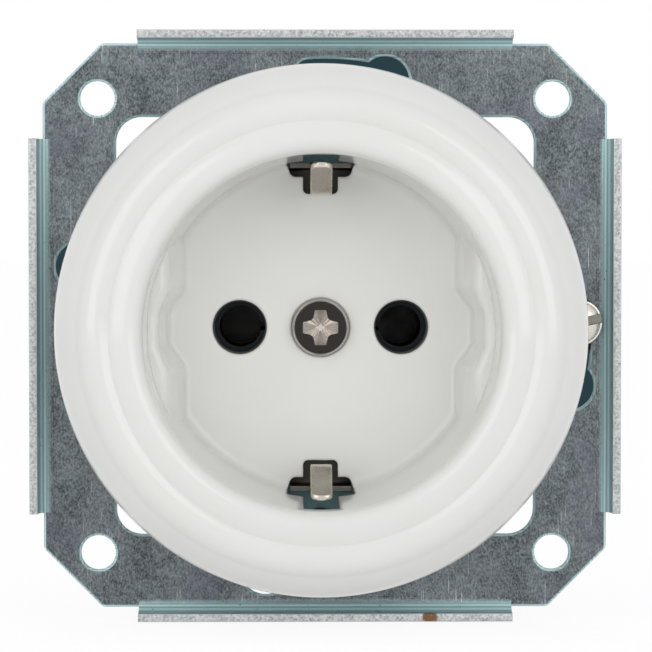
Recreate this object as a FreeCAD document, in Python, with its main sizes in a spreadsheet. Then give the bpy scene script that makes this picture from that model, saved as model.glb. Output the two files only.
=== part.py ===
import FreeCAD, Part
import math
import os
from types import SimpleNamespace

import Sketcher
from FreeCAD import Placement, Rotation, Vector

# A type F wall socket insert on a flanged steel plate.
#
# Every piece is drawn lying on its back: x to the right, y up the wall and z out of the wall. Its
# Placement then stands it on the wall, so that the finished part faces -Y with +Z up. The origin is the
# middle of the plate on its back face, which is the wall plane. Heights are measured from that plane.

SIZES = (
    # Support plate
    ("sheet", 1.0, "thickness of the plate's steel"),
    ("corner_cut", 7.0, "length of the corner chamfers, along each side"),
    ("fixing_circle", 60.0, "circle of the wall box's screws"),
    ("flange_margin", 5.0, "bent flanges outside that circle, on each side"),
    ("edge_inset", 3.0, "plate's flat edges, narrower than the flanges' span"),
    ("flange_gap", 3.5, "flat edge between a chamfer and the notch beside a flange"),
    ("flange_height", 3.4, "front edge of the flanges"),
    ("bend_radius", 0.8, "inner radius of the bends"),
    ("relief_width", 0.8, "notch beside each end of a flange"),
    ("relief_depth", 1.1, "depth of that notch from the flat edge"),
    ("hole_inset", 13.0, "spacing of the corner holes, less than the flat edges"),
    ("hole_diameter", 4.1, "corner holes"),
    ("window_gap", 2.2, "outer sides of the corner windows, inside the holes' middles"),
    ("window_rounding", 3.0, "outer corner of a window"),
    ("window_bow", 2.7, "inner side of the windows, a circle wider than their outer sides"),
    ("slot_width", 3.5, "narrow part of a keyhole slot"),
    ("slot_tail_angle", 3.6, "narrow end, turned from the upright or the level"),
    ("bulb_diameter", 5.8, "wide end of a keyhole slot"),
    ("bulb_angle", 13.7, "wide end, turned the other way"),
    ("mechanism_shift", -0.6, "socket axis, sideways from the plate's middle"),
    # Front cover
    ("base_front", 3.0, "front of the base, where the cover sits"),
    ("floor_thickness", 2.0, "floor of the recess"),
    ("floor_fillet", 1.2, "round between floor and wall"),
    ("recess_radius", 19.3, "recess wall at the floor"),
    ("rim_height", 24.3, "crest of the rim"),
    ("rim_thickness", 2.9, "rim, from its crest to the hollow behind it"),
    ("lip_radius", 1.8, "round from the mouth up to the crest"),
    ("inner_roll_radius", 4.1, "section of the inner roll"),
    ("crease_radius", 23.75, "crease between the two rolls"),
    ("inner_roll_width", 1.95, "crest of the rim, inside the crease"),
    ("crease_drop", 0.5, "crease below the crest"),
    ("outer_roll_radius", 2.7, "section of the outer roll"),
    ("outer_roll_width", 3.7, "crease between outer roll and shoulder, outside the first one"),
    ("shoulder_drop", 1.45, "that crease below the crest"),
    ("shoulder_round", 7.8, "section of the shoulder"),
    ("drum_radius", 30.35, "widest part of the cover"),
    ("drum_drop", 7.5, "widest part below the crest"),
    ("skirt_radius", 30.15, "lower edge of the skirt"),
    ("skirt_lift", 4.0, "lower edge of the skirt above the wall plane"),
    ("cover_wall", 2.1, "wall of the moulding"),
    ("pin_pitch", 19.0, "spacing of the pin holes"),
    ("pin_hole_diameter", 6.38, "pin holes in the cover"),
    ("rib_height", 12.0, "guide ribs above the floor"),
    ("rib_foot", 15.9, "rib face from the axis, at the floor"),
    ("rib_top", 17.4, "rib face from the axis, at the ledge"),
    ("rib_root", 0.5, "how deep the ribs join the floor"),
    ("notch_mouth", 9.2, "width of a rib's notch at its face"),
    ("notch_width", 3.8, "width of the notch at its bottom"),
    ("notch_foot", 17.84, "notch bottom from the axis, at the floor"),
    ("notch_top", 18.5, "notch bottom from the axis, at the ledge"),
    ("earth_slot_width", 4.1, "narrow part of an earth slot"),
    ("earth_slot_start", 15.65, "narrow part from the axis"),
    ("earth_slot_top", 16.0, "narrow part up the wall, above the floor"),
    ("root_slot_width", 6.9, "wide part of an earth slot, at its inner end"),
    ("root_slot_spread", 0.55, "how much wider it is on each side at the recess wall"),
    ("root_slot_start", 17.65, "wide part from the axis"),
    ("root_slot_top", 6.0, "wide part up the wall, above the floor"),
    ("slot_rounding", 0.6, "corners of the earth slots"),
    # Cover screw
    ("cover_screw_head", 6.8, "head of the cover screw"),
    ("cover_screw_rise", 1.9, "height of that head"),
    ("cover_screw_rim", 0.6, "round of that head's edge"),
    ("cover_screw_shank", 3.4, "thread of the cover screw"),
    ("cover_screw_length", 9.5, "length under the head"),
    ("screw_seat_play", 0.08, "gap round the head in its seat"),
    ("screw_seat_depth", 0.5, "depth of the seat in the floor"),
    ("screw_play", 0.4, "gap round a screw's thread in a clear hole"),
    ("thread_play", 0.1, "how much wider a threaded or riveted hole is"),
    ("recess_span", 3.9, "cross recess, tip to tip"),
    ("recess_bar", 1.1, "bar of the cross recess"),
    ("recess_depth", 1.0, "depth of the cross recess"),
    # Contact base and rear cap
    ("boss_diameter", 37.0, "boss through the plate's opening"),
    ("boss_play", 0.5, "gap between boss and plate"),
    ("base_margin", 2.9, "flange behind the plate, outside the rivets' middles"),
    ("base_flange_thickness", 3.0, "that flange"),
    ("body_diameter", 46.0, "body behind the flange"),
    ("body_flats", 41.0, "width over the body's flats"),
    ("base_depth", 18.0, "back of the base, behind the wall plane"),
    ("cap_thickness", 2.0, "rear cap"),
    ("base_pin_hole", 6.0, "pin bores in the base's front wall"),
    ("front_wall", 2.0, "wall between the contacts and the base's front"),
    ("wire_hole", 2.4, "conductor entries in the rear cap"),
    ("wire_pitch", 2.8, "spacing of a pole's two entries"),
    # Contacts and terminals
    ("pin_bore", 4.9, "inside of a contact sleeve"),
    ("strip", 0.6, "thickness of the contact sheet"),
    ("sleeve_length", 13.5, "length of a sleeve"),
    ("sleeve_slit", 0.9, "slit along a sleeve"),
    ("spring_wire", 0.5, "thickness of the spring ring"),
    ("spring_width", 2.4, "length of the spring ring"),
    ("spring_gap", 1.6, "opening of the spring ring"),
    ("spring_setback", 1.4, "spring ring behind the sleeve's front end"),
    ("piece_play", 0.2, "gap between seated pieces"),
    ("cage_inner_face", 12.9, "terminal cage from the axis"),
    ("cage_length", 5.4, "cage along its screw"),
    ("cage_width", 7.0, "cage across its screw"),
    ("cage_height", 8.0, "cage out of the wall"),
    ("cage_wall", 1.0, "wall of a cage"),
    ("tail_width", 4.6, "clamping tail inside a cage"),
    ("tail_thickness", 0.8, "that tail"),
    ("terminal_thread", 3.0, "terminal screw's thread"),
    ("terminal_reach", 3.4, "thread past the cage's outer face, inwards"),
    ("terminal_head", 5.0, "head of a terminal screw"),
    ("terminal_rise", 1.7, "height of that head"),
    ("driver_slot", 0.9, "slot in the terminal screws"),
    # Earth bridge and pillar
    ("bridge_width", 7.2, "earth strip on the base"),
    ("bridge_thickness", 0.6, "that strip"),
    ("bridge_reach", 18.7, "inner face of its upturned ends"),
    ("bridge_bend", 0.5, "inner radius of its bends"),
    ("root_top", 5.4, "front edge of the upturned ends"),
    ("finger_width", 2.45, "earth finger"),
    ("hump_reach", 15.5, "innermost point of a finger, from the axis"),
    ("hump_height", 8.0, "that point above the floor"),
    ("finger_end_reach", 18.55, "free end of a finger, from the axis"),
    ("finger_end_height", 14.0, "free end above the floor"),
    ("hump_round", 2.4, "radius of the hump"),
    ("hump_length", 2.0, "length of the hump's round"),
    ("pillar_diameter", 6.4, "threaded earth pillar"),
    ("pillar_length", 9.5, "that pillar"),
    # Rivets and small screws
    ("rivet_gap", 3.1, "rivets outside the body's flats"),
    ("rivet_shank", 2.6, "shank of a rivet"),
    ("rivet_head", 4.0, "heads of a rivet"),
    ("rivet_rise", 0.8, "height of a rivet's heads"),
    ("cap_screw_reach", 20.2, "rear cap screws from the socket axis"),
    ("cap_screw_thread", 2.2, "thread of those screws"),
    ("cap_screw_head", 4.0, "head of those screws"),
    ("cap_screw_rise", 1.3, "height of those heads"),
    ("cap_screw_length", 8.0, "length under the head"),
    # Box screw
    ("box_screw_offset", 0.15, "box screw's axis, outside its circle"),
    ("box_screw_angle", 0.8, "box screw's place along its slot"),
    ("box_screw_head", 5.5, "head of the box screw"),
    ("box_screw_rise", 2.0, "height of that head"),
    ("box_screw_rim", 0.8, "height of the head's straight rim"),
    ("box_screw_step", 0.45, "step between rim and dome"),
    ("box_screw_shank", 3.1, "thread of the box screw"),
    ("box_screw_length", 25.0, "length under the head"),
    ("box_screw_slot", 1.1, "slot of the box screw"),
    ("box_screw_turn", -7.0, "turn of that slot"),
    ("retainer_diameter", 7.2, "captive washer behind the plate"),
    ("retainer_play", 0.9, "gap round that washer in the base's flange"),
    ("retainer_thickness", 0.6, "that washer"),
)


class Size:
    """A length or angle that knows its number and the expression that gives it."""

    def __init__(self, number, text):
        self.number = number
        self.text = text

    @staticmethod
    def of(value):
        """Return a plain number as a Size, and a Size as it is."""
        if isinstance(value, Size):
            return value
        return Size(float(value), f"({float(value)})")

    def __add__(self, other):
        other = Size.of(other)
        return Size(self.number + other.number, f"({self.text} + {other.text})")

    def __sub__(self, other):
        other = Size.of(other)
        return Size(self.number - other.number, f"({self.text} - {other.text})")

    def __mul__(self, other):
        other = Size.of(other)
        return Size(self.number * other.number, f"({self.text} * {other.text})")

    def __truediv__(self, other):
        other = Size.of(other)
        return Size(self.number / other.number, f"({self.text} / {other.text})")

    def __neg__(self):
        return Size(-self.number, f"(-1 * {self.text})")

    def __radd__(self, other):
        return Size.of(other) + self

    def __rsub__(self, other):
        return Size.of(other) - self

    def __rmul__(self, other):
        return Size.of(other) * self


def root(size):
    """Square root of a size."""
    return Size(math.sqrt(size.number), f"sqrt({size.text})")


def cosine(angle):
    """Cosine of an angle in degrees."""
    return Size(math.cos(math.radians(angle.number)), f"cos({angle.text})")


def sine(angle):
    """Sine of an angle in degrees."""
    return Size(math.sin(math.radians(angle.number)), f"sin({angle.text})")


def across(radius, offset):
    """Half chord of a circle at an offset from its centre."""
    return root(radius * radius - offset * offset)


def fill_sheet(document):
    """Write the driving sizes to a spreadsheet and return them by name."""
    sheet = document.addObject("Spreadsheet::Sheet", "sizes")
    named = {}
    for row, (alias, number, meaning) in enumerate(SIZES, start=1):
        sheet.set(f"A{row}", meaning)
        sheet.set(f"B{row}", str(number))
        sheet.setAlias(f"B{row}", alias)
        named[alias] = Size(float(number), f"sizes.{alias}")
    document.recompute()
    return SimpleNamespace(**named)


def bind(feature, path, size):
    """Drive a property of a feature by a size."""
    feature.setExpression(path, Size.of(size).text)


doc = FreeCAD.newDocument("wall_socket")
s = fill_sheet(doc)


def new_body(label, turn=0, reach=0.0, height=0.0, lean=0, spin=0.0, middle=s.mechanism_shift):
    """Start a piece and stand it on the wall.

    It lies at a reach from the middle, in a direction turned from the right, and at a height in front
    of the wall plane. Lean tips its front axis towards that direction, and spin turns it about itself.
    """
    body = doc.addObject("PartDesign::Body", label)
    body.Label = label
    spin = Size.of(spin)
    aim = Size.of(turn)
    about_z = Vector(0, 0, 1)
    stand = Rotation(Vector(1, 0, 0), 90) * Rotation(about_z, aim.number)
    tipped = stand * Rotation(Vector(0, 1, 0), lean) * Rotation(about_z, spin.number)
    body.Placement = Placement(Vector(0, 0, 0), tipped)
    bind(body, "Placement.Base.x", middle + reach * cosine(aim))
    bind(body, "Placement.Base.y", -Size.of(height))
    bind(body, "Placement.Base.z", reach * sine(aim))
    return body


def origin_feature(body, role):
    """One of a body's own planes or axes."""
    return next(item for item in body.Origin.OriginFeatures if item.Role == role)


def new_sketch(body, role, level):
    """Start a sketch on one of a body's own planes, lifted by a level."""
    sketch = body.newObject("Sketcher::SketchObject", f"{body.Name}_sketch")
    sketch.AttachmentSupport = (origin_feature(body, role), [""])
    sketch.MapMode = "FlatFace"
    bind(sketch, "AttachmentOffset.Base.z", level)
    return sketch


def edge_between(start, end, radius):
    """Straight line, or arc of a signed radius: positive turns left, negative turns right."""
    if radius is None:
        return Part.LineSegment(start, end)
    chord = end - start
    left = Vector(-chord.y, chord.x, 0).normalize()
    half = chord.Length / 2
    rise = math.sqrt(radius * radius - half * half)
    side = math.copysign(1, radius)
    centre = (start + end) / 2 + left * rise * side
    middle = centre - left * abs(radius) * side
    return Part.Arc(start, middle, end)


def draw_outline(sketch, corners):
    """Close an outline through corners (x, y) or (x, y, radius of the arc to the next corner)."""
    first = sketch.GeometryCount
    count = len(corners)
    points = [Vector(Size.of(c[0]).number, Size.of(c[1]).number, 0) for c in corners]
    radii = [Size.of(c[2]) if len(c) > 2 else None for c in corners]
    constraints = []
    driven = []
    for i in range(count):
        radius = radii[i].number if radii[i] else None
        sketch.addGeometry(edge_between(points[i], points[(i + 1) % count], radius), False)
    starts = [start_of(radius) for radius in radii]
    for i in range(count):
        after = (i + 1) % count
        constraints.append(
            Sketcher.Constraint("Coincident", first + i, 3 - starts[i], first + after, starts[after])
        )
    for i, corner in enumerate(corners):
        for kind, size, number in zip(("DistanceX", "DistanceY"), corner, points[i]):
            driven.append((len(constraints), size))
            constraints.append(Sketcher.Constraint(kind, -1, 1, first + i, starts[i], number))
        if radii[i]:
            driven.append((len(constraints), positive(radii[i])))
            constraints.append(Sketcher.Constraint("Radius", first + i, abs(radii[i].number)))
    add_driven(sketch, constraints, driven)


def start_of(radius):
    """Which end of an edge is its first corner: arcs that turn right are stored reversed."""
    return 2 if radius and radius.number < 0 else 1


def positive(size):
    """A size without its sign."""
    return size if size.number > 0 else -size


def draw_circle(sketch, x, y, diameter):
    """Draw a circle by its centre and diameter."""
    x, y, diameter = (Size.of(value) for value in (x, y, diameter))
    circle = Part.Circle(Vector(x.number, y.number, 0), Vector(0, 0, 1), diameter.number / 2)
    index = sketch.addGeometry(circle, False)
    constraints = [
        Sketcher.Constraint("DistanceX", -1, 1, index, 3, x.number),
        Sketcher.Constraint("DistanceY", -1, 1, index, 3, y.number),
        Sketcher.Constraint("Diameter", index, diameter.number),
    ]
    add_driven(sketch, constraints, list(enumerate((x, y, diameter))))


def add_driven(sketch, constraints, driven):
    """Add constraints and bind those that carry a size."""
    first = sketch.ConstraintCount
    sketch.addConstraint(constraints)
    for index, size in driven:
        bind(sketch, f"Constraints[{first + index}]", size)


def box_corners(left, right, low, high, rounding=None):
    """Corners of a rectangle, with rounded corners where a rounding is given."""
    if rounding is None:
        return [(left, low), (right, low), (right, high), (left, high)]
    r = rounding
    return [
        (left + r, low),
        (right - r, low, r),
        (right, low + r),
        (right, high - r, r),
        (right - r, high),
        (left + r, high, r),
        (left, high - r),
        (left, low + r, r),
    ]


def face_sketch(body, level, *outlines):
    """Sketch that faces out of the wall, at a height."""
    sketch = new_sketch(body, "XY_Plane", level)
    for corners in outlines:
        draw_outline(sketch, corners)
    return sketch


def disc_sketch(body, level, *discs):
    """Sketch of circles (x, y, diameter) that faces out of the wall, at a height."""
    sketch = new_sketch(body, "XY_Plane", level)
    for disc in discs:
        draw_circle(sketch, *disc)
    return sketch


def section_sketch(body, corners, role="XZ_Plane"):
    """Sketch of a section through the piece: across in x, or in y on the YZ plane, and height."""
    sketch = new_sketch(body, role, 0.0)
    draw_outline(sketch, corners)
    return sketch


def add_feature(body, kind, profile):
    """Add a sketch-based feature to a body."""
    feature = body.newObject(f"PartDesign::{kind}", f"{body.Name}_{kind.lower()}")
    feature.Profile = profile
    profile.Visibility = False
    return feature


def pad(body, profile, length, symmetric=False):
    """Raise a profile by a length, or by half of it to each side."""
    feature = add_feature(body, "Pad", profile)
    if symmetric:
        feature.SideType = "Symmetric"
    bind(feature, "Length", length)
    return feature


def pocket(body, profile, depth, symmetric=False):
    """Cut a profile to a depth below its sketch, or by half of it to each side."""
    feature = add_feature(body, "Pocket", profile)
    if symmetric:
        feature.SideType = "Symmetric"
    bind(feature, "Length", depth)
    return feature


def revolve(body, profile):
    """Turn a section about the piece's front axis."""
    feature = add_feature(body, "Revolution", profile)
    feature.ReferenceAxis = (profile, ["V_Axis"])
    feature.Angle = 360
    return feature


def repeat_round(body, features, count):
    """Repeat features about the piece's front axis."""
    feature = body.newObject("PartDesign::PolarPattern", f"{body.Name}_pattern")
    feature.Originals = features
    feature.Axis = (origin_feature(body, "Z_Axis"), [""])
    feature.Angle = 360
    feature.Occurrences = count
    body.Tip = feature
    return feature


def loft(body, profile, section):
    """Join two outlines by straight walls."""
    feature = add_feature(body, "AdditiveLoft", profile)
    feature.Sections = [(section, [""])]
    feature.Ruled = True
    section.Visibility = False
    return feature


def quarter_turns(corners):
    """Repeat the corners of one side on all four sides."""
    outline = []
    for _ in range(4):
        outline += corners
        corners = [(-Size.of(c[1]), c[0], *c[2:]) for c in corners]
    return outline


def polar(radius, angle):
    """Point at a radius and an angle from the right, counter-clockwise."""
    return (radius * cosine(angle), radius * sine(angle))


def both_sides(x, *rest):
    """The same thing at x and at -x."""
    return ((x, *rest), (-x, *rest))


# Directions round the socket axis, in degrees from the right
RIGHT = 0
DIAGONAL = 45
LEFT = 180
DOWN = -90
UP = 90

# Heights and reaches that several pieces share
flange_span = s.fixing_circle + s.flange_margin * 2
plate_edge = flange_span - s.edge_inset
flange_length = plate_edge - (s.corner_cut + s.flange_gap + s.relief_width) * 2
hole_pitch = plate_edge - s.hole_inset
window_reach = hole_pitch / 2 - s.window_gap
window_inner_radius = window_reach + s.window_bow
fixing_radius = s.fixing_circle / 2
rivet_reach = s.body_flats / 2 + s.rivet_gap
base_flange_radius = rivet_reach + s.base_margin
box_screw_reach = fixing_radius + s.box_screw_offset
crest = s.crease_radius - s.inner_roll_width
mouth_radius = crest - s.lip_radius
shoulder_radius = s.crease_radius + s.outer_roll_width
drum_height = s.rim_height - s.drum_drop
floor_front = s.base_front + s.floor_thickness
screw_seat = floor_front - s.screw_seat_depth
bridge_back = s.base_front - s.bridge_thickness
pin_reach = s.pin_pitch / 2
sleeve_diameter = s.pin_bore + s.strip * 2
sleeve_front = s.base_front - s.front_wall - s.piece_play
cage_back = s.piece_play - s.base_depth
cage_front = cage_back + s.cage_height
cage_middle = (cage_back + cage_front) / 2
cage_outer_face = s.cage_inner_face + s.cage_length
tail_inner_face = s.cage_inner_face + s.cage_wall
tail_outer_face = tail_inner_face + s.tail_thickness
tail_front = cage_front + s.piece_play + s.tail_thickness
tail_back = cage_back + s.piece_play
well_front = tail_front + s.piece_play
rivet_hole = s.rivet_shank + s.thread_play


def support_plate():
    """Zinc-plated plate with four bent flanges, corner holes, windows and keyhole slots."""
    body = new_body("support_plate", middle=Size.of(0))
    half = plate_edge / 2
    notch = flange_length / 2 + s.relief_width
    inner = half - s.relief_depth
    side = [
        (half, s.corner_cut - half),
        (half, -notch),
        (inner, -notch),
        (inner, notch),
        (half, notch),
        (half, half - s.corner_cut),
    ]
    pad(body, face_sketch(body, 0.0, quarter_turns(side)), s.sheet)

    face = flange_span / 2
    bend = s.bend_radius + s.sheet
    root_edge = inner - s.relief_depth
    flange_section = [
        (root_edge, 0.0),
        (face - bend, 0.0, bend),
        (face, bend),
        (face, s.flange_height),
        (face - s.sheet, s.flange_height),
        (face - s.sheet, bend, -s.bend_radius),
        (face - bend, s.sheet),
        (root_edge, s.sheet),
    ]
    flange = pad(body, section_sketch(body, flange_section), flange_length, symmetric=True)
    repeat_round(body, [flange], 4)

    reach = hole_pitch / 2
    corner_hole = pocket(body, disc_sketch(body, s.sheet, (reach, reach, s.hole_diameter)), s.sheet)

    far = window_reach
    near = across(window_inner_radius, far)
    window_outline = [
        (far, near),
        (far, far - s.window_rounding, s.window_rounding),
        (far - s.window_rounding, far),
        (near, far, -window_inner_radius),
    ]
    window = pocket(body, face_sketch(body, s.sheet, window_outline), s.sheet)

    outer = fixing_radius + s.slot_width / 2
    inner = fixing_radius - s.slot_width / 2
    bulb = -s.bulb_angle
    band_outline = [
        polar(inner, bulb),
        (*polar(outer, bulb), outer),
        polar(outer, s.slot_tail_angle),
        (*polar(inner, s.slot_tail_angle), -inner),
    ]
    band = pocket(body, face_sketch(body, s.sheet, band_outline), s.sheet)
    tail_disc = (*polar(fixing_radius, s.slot_tail_angle), s.slot_width)
    tail = pocket(body, disc_sketch(body, s.sheet, tail_disc), s.sheet)
    bulb_disc = (*polar(fixing_radius, bulb), s.bulb_diameter)
    bulb_hole = pocket(body, disc_sketch(body, s.sheet, bulb_disc), s.sheet)
    repeat_round(body, [corner_hole, window, band, tail, bulb_hole], 4)

    opening = (s.mechanism_shift, 0.0, s.boss_diameter + s.boss_play * 2)
    pocket(body, disc_sketch(body, s.sheet, opening), s.sheet)
    upper_rivet = (s.mechanism_shift, rivet_reach, rivet_hole)
    lower_rivet = (s.mechanism_shift, -rivet_reach, rivet_hole)
    pocket(body, disc_sketch(body, s.sheet, upper_rivet, lower_rivet), s.sheet)
    return body


def rib_outline(face, notch_bottom):
    """Plan of a guide rib: a chord of the recess with a notch in its middle."""
    edge = s.recess_radius + s.cover_wall / 2
    reach = across(edge, face)
    return [
        (face, -reach, edge),
        (face, reach),
        (face, s.notch_mouth / 2),
        (notch_bottom, s.notch_width / 2),
        (notch_bottom, -s.notch_width / 2),
        (face, -s.notch_mouth / 2),
    ]


def front_cover():
    """White moulded drum with a rolled rim round the plug recess."""
    body = new_body("front_cover")
    screw_hole = s.cover_screw_shank / 2 + s.screw_play
    seat_edge = s.cover_screw_head / 2 + s.screw_seat_play
    inner_round = s.shoulder_round - s.cover_wall
    roof = s.rim_height - s.rim_thickness
    roof_edge = s.drum_radius - s.shoulder_round + across(inner_round, roof - drum_height)
    section = [
        (screw_hole, s.base_front),
        (s.recess_radius + s.cover_wall, s.base_front),
        (mouth_radius + s.cover_wall, roof),
        (roof_edge, roof, -inner_round),
        (s.drum_radius - s.cover_wall, drum_height),
        (s.skirt_radius - s.cover_wall, s.skirt_lift),
        (s.skirt_radius, s.skirt_lift),
        (s.drum_radius, drum_height, s.shoulder_round),
        (shoulder_radius, s.rim_height - s.shoulder_drop, s.outer_roll_radius),
        (s.crease_radius, s.rim_height - s.crease_drop, s.inner_roll_radius),
        (crest, s.rim_height, s.lip_radius),
        (mouth_radius, s.rim_height - s.lip_radius),
        (s.recess_radius, floor_front + s.floor_fillet, -s.floor_fillet),
        (s.recess_radius - s.floor_fillet, floor_front),
        (seat_edge, floor_front),
        (seat_edge, screw_seat),
        (screw_hole, screw_seat),
    ]
    revolve(body, section_sketch(body, section))

    rib_low = face_sketch(body, floor_front - s.rib_root, rib_outline(s.rib_foot, s.notch_foot))
    rib_high = face_sketch(body, floor_front + s.rib_height, rib_outline(s.rib_top, s.notch_top))
    repeat_round(body, [loft(body, rib_low, rib_high)], 2)

    holes = both_sides(pin_reach, 0.0, s.pin_hole_diameter)
    pocket(body, disc_sketch(body, floor_front, *holes), s.floor_thickness)

    slot_end = mouth_radius + s.cover_wall * 1.5
    narrow = box_corners(
        -s.earth_slot_width / 2, s.earth_slot_width / 2, s.earth_slot_start, slot_end, s.slot_rounding
    )
    inner_half = s.root_slot_width / 2
    outer_half = inner_half + s.root_slot_spread
    wide = [
        (-inner_half, s.root_slot_start),
        (inner_half, s.root_slot_start),
        (outer_half, s.recess_radius),
        (outer_half, slot_end),
        (-outer_half, slot_end),
        (-outer_half, s.recess_radius),
    ]
    finger_slot = pocket(
        body,
        face_sketch(body, floor_front + s.earth_slot_top, narrow),
        s.earth_slot_top + s.floor_thickness,
    )
    root_slot = pocket(
        body,
        face_sketch(body, floor_front + s.root_slot_top, wide),
        s.root_slot_top + s.floor_thickness,
    )
    repeat_round(body, [finger_slot, root_slot], 2)
    return body


def cover_screw():
    """Screw with a flat rounded head and a cross recess."""
    body = new_body("cover_screw")
    top = screw_seat + s.cover_screw_rise
    tip = screw_seat - s.cover_screw_length
    head = s.cover_screw_head / 2
    shank = s.cover_screw_shank / 2
    section = [
        (0.0, tip),
        (shank, tip),
        (shank, screw_seat),
        (head, screw_seat),
        (head, top - s.cover_screw_rim, s.cover_screw_rim),
        (head - s.cover_screw_rim, top),
        (0.0, top),
    ]
    revolve(body, section_sketch(body, section))
    arm = s.recess_span / 2
    bar = s.recess_bar / 2
    cross = quarter_turns([(arm, -bar), (arm, bar), (bar, bar)])
    pocket(body, face_sketch(body, top, cross), s.recess_depth)
    return body


def body_outline():
    """Plan of the base's body and of the rear cap: a circle with four flats."""
    half = s.body_flats / 2
    radius = s.body_diameter / 2
    rise = across(radius, half)
    return quarter_turns([(half, -rise), (half, rise, radius)])


def contact_base():
    """Dark thermoset body that carries the contacts, with wells open to the back."""
    body = new_body("contact_base")
    flange_back = -s.base_flange_thickness
    pad(body, disc_sketch(body, flange_back, (0.0, 0.0, base_flange_radius * 2)), -flange_back)
    pad(body, disc_sketch(body, 0.0, (0.0, 0.0, s.boss_diameter)), s.base_front)
    pad(body, face_sketch(body, -s.base_depth, body_outline()), s.base_depth + flange_back)

    groove_half = s.bridge_width / 2 + s.piece_play
    boss_edge = s.boss_diameter / 2 + s.boss_play
    groove = box_corners(-groove_half, groove_half, -boss_edge, boss_edge)
    pocket(body, face_sketch(body, s.base_front, groove), s.bridge_thickness)
    pillar_hole = (0.0, 0.0, s.pillar_diameter + s.piece_play)
    pocket(body, disc_sketch(body, bridge_back, pillar_hole), s.pillar_length)

    pin_holes = both_sides(pin_reach, 0.0, s.base_pin_hole)
    pocket(body, disc_sketch(body, s.base_front, *pin_holes), s.front_wall)
    bore = sleeve_diameter + (s.spring_wire + s.piece_play) * 2
    bore_front = s.base_front - s.front_wall
    bores = both_sides(pin_reach, 0.0, bore)
    pocket(body, disc_sketch(body, bore_front, *bores), bore_front + s.base_depth)

    well_half = s.cage_width / 2 + s.piece_play
    well_end = cage_outer_face + s.piece_play
    pole_well = box_corners(pin_reach, well_end, -well_half, well_half)
    wells = pocket(body, face_sketch(body, well_front, pole_well), well_front + s.base_depth)
    repeat_round(body, [wells], 2)
    earth_start = s.cage_inner_face - s.piece_play
    earth_well = box_corners(-well_half, well_half, -well_end, -earth_start)
    pocket(body, face_sketch(body, well_front, earth_well), well_front + s.base_depth)
    tail_half = s.tail_width / 2 + s.piece_play
    tail_slot = box_corners(
        -tail_half, tail_half, -tail_outer_face - s.piece_play, -tail_inner_face + s.piece_play
    )
    pocket(body, face_sketch(body, bridge_back, tail_slot), bridge_back - well_front)

    flat = s.body_flats / 2
    access = s.terminal_head + s.screw_play * 2
    for role in ("YZ_Plane", "XZ_Plane"):
        side = new_sketch(body, role, flat)
        draw_circle(side, 0.0, cage_middle, access)
        hole = pocket(body, side, flat - cage_outer_face)
        if role == "YZ_Plane":
            repeat_round(body, [hole], 2)

    upper_rivet = (0.0, rivet_reach, rivet_hole)
    lower_rivet = (0.0, -rivet_reach, rivet_hole)
    screw_x, screw_y = polar(box_screw_reach, s.box_screw_angle)
    washer_notch = (screw_x - s.mechanism_shift, screw_y, s.retainer_diameter + s.retainer_play * 2)
    flange_cuts = disc_sketch(body, 0.0, upper_rivet, lower_rivet, washer_notch)
    pocket(body, flange_cuts, s.base_flange_thickness)
    thread_depth = s.cap_screw_length - s.cap_thickness + s.piece_play
    cap_holes = cap_screw_places(s.cap_screw_thread + s.thread_play)
    pocket(body, disc_sketch(body, thread_depth - s.base_depth, *cap_holes), thread_depth)
    return body


def cap_screw_places(diameter):
    """Circles at the two rear cap screws, on a diagonal of the body."""
    side = s.cap_screw_reach * cosine(Size.of(DIAGONAL))
    return ((side, side, diameter), (-side, -side, diameter))


def rear_cap():
    """Plate that closes the wells, with the conductor entries."""
    body = new_body("rear_cap")
    pad(body, face_sketch(body, -s.base_depth - s.cap_thickness, body_outline()), s.cap_thickness)
    entry = (tail_outer_face + cage_outer_face - s.cage_wall) / 2
    spread = s.wire_pitch / 2
    entries = [
        (sign * entry, lift, s.wire_hole) for sign in (1, -1) for lift in (spread, -spread)
    ]
    entries += [(shift, -entry, s.wire_hole) for shift in (spread, -spread)]
    pocket(body, disc_sketch(body, -s.base_depth, *entries), s.cap_thickness)
    screws = cap_screw_places(s.cap_screw_thread + s.screw_play)
    pocket(body, disc_sketch(body, -s.base_depth, *screws), s.cap_thickness)
    return body


def group(label, pieces):
    """Identical fasteners as one piece of the part."""
    compound = doc.addObject("Part::Compound", label)
    compound.Label = label
    compound.Links = pieces
    return compound


def rear_cap_screw(label, turn):
    """Small dome-headed screw, head to the back."""
    seat = s.base_depth + s.cap_thickness
    body = new_body(label, turn=turn, reach=s.cap_screw_reach, height=-seat, lean=180)
    revolve(
        body,
        section_sketch(
            body,
            [
                (0.0, -s.cap_screw_length),
                (s.cap_screw_thread / 2, -s.cap_screw_length),
                (s.cap_screw_thread / 2, 0.0),
                (s.cap_screw_head / 2, 0.0, dome_radius(s.cap_screw_head / 2, s.cap_screw_rise)),
                (0.0, s.cap_screw_rise),
            ],
        ),
    )
    slot = box_corners(-s.cap_screw_head, s.cap_screw_head, -s.driver_slot / 2, s.driver_slot / 2)
    pocket(body, face_sketch(body, s.cap_screw_rise, slot), s.cap_screw_rise / 2)
    return body


def dome_radius(half_width, rise):
    """Radius of a dome by its half width and its rise."""
    return (half_width * half_width + rise * rise) / (rise * 2)


def plate_rivet(label, turn):
    """Rivet through the plate and the base's flange, domed at both ends."""
    body = new_body(label, turn=turn, reach=rivet_reach)
    head = s.rivet_head / 2
    shank = s.rivet_shank / 2
    back = -s.base_flange_thickness
    dome = dome_radius(head, s.rivet_rise)
    section = [
        (0.0, back - s.rivet_rise, dome),
        (head, back),
        (shank, back),
        (shank, s.sheet),
        (head, s.sheet, dome),
        (0.0, s.sheet + s.rivet_rise),
    ]
    revolve(body, section_sketch(body, section))
    return body


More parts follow.
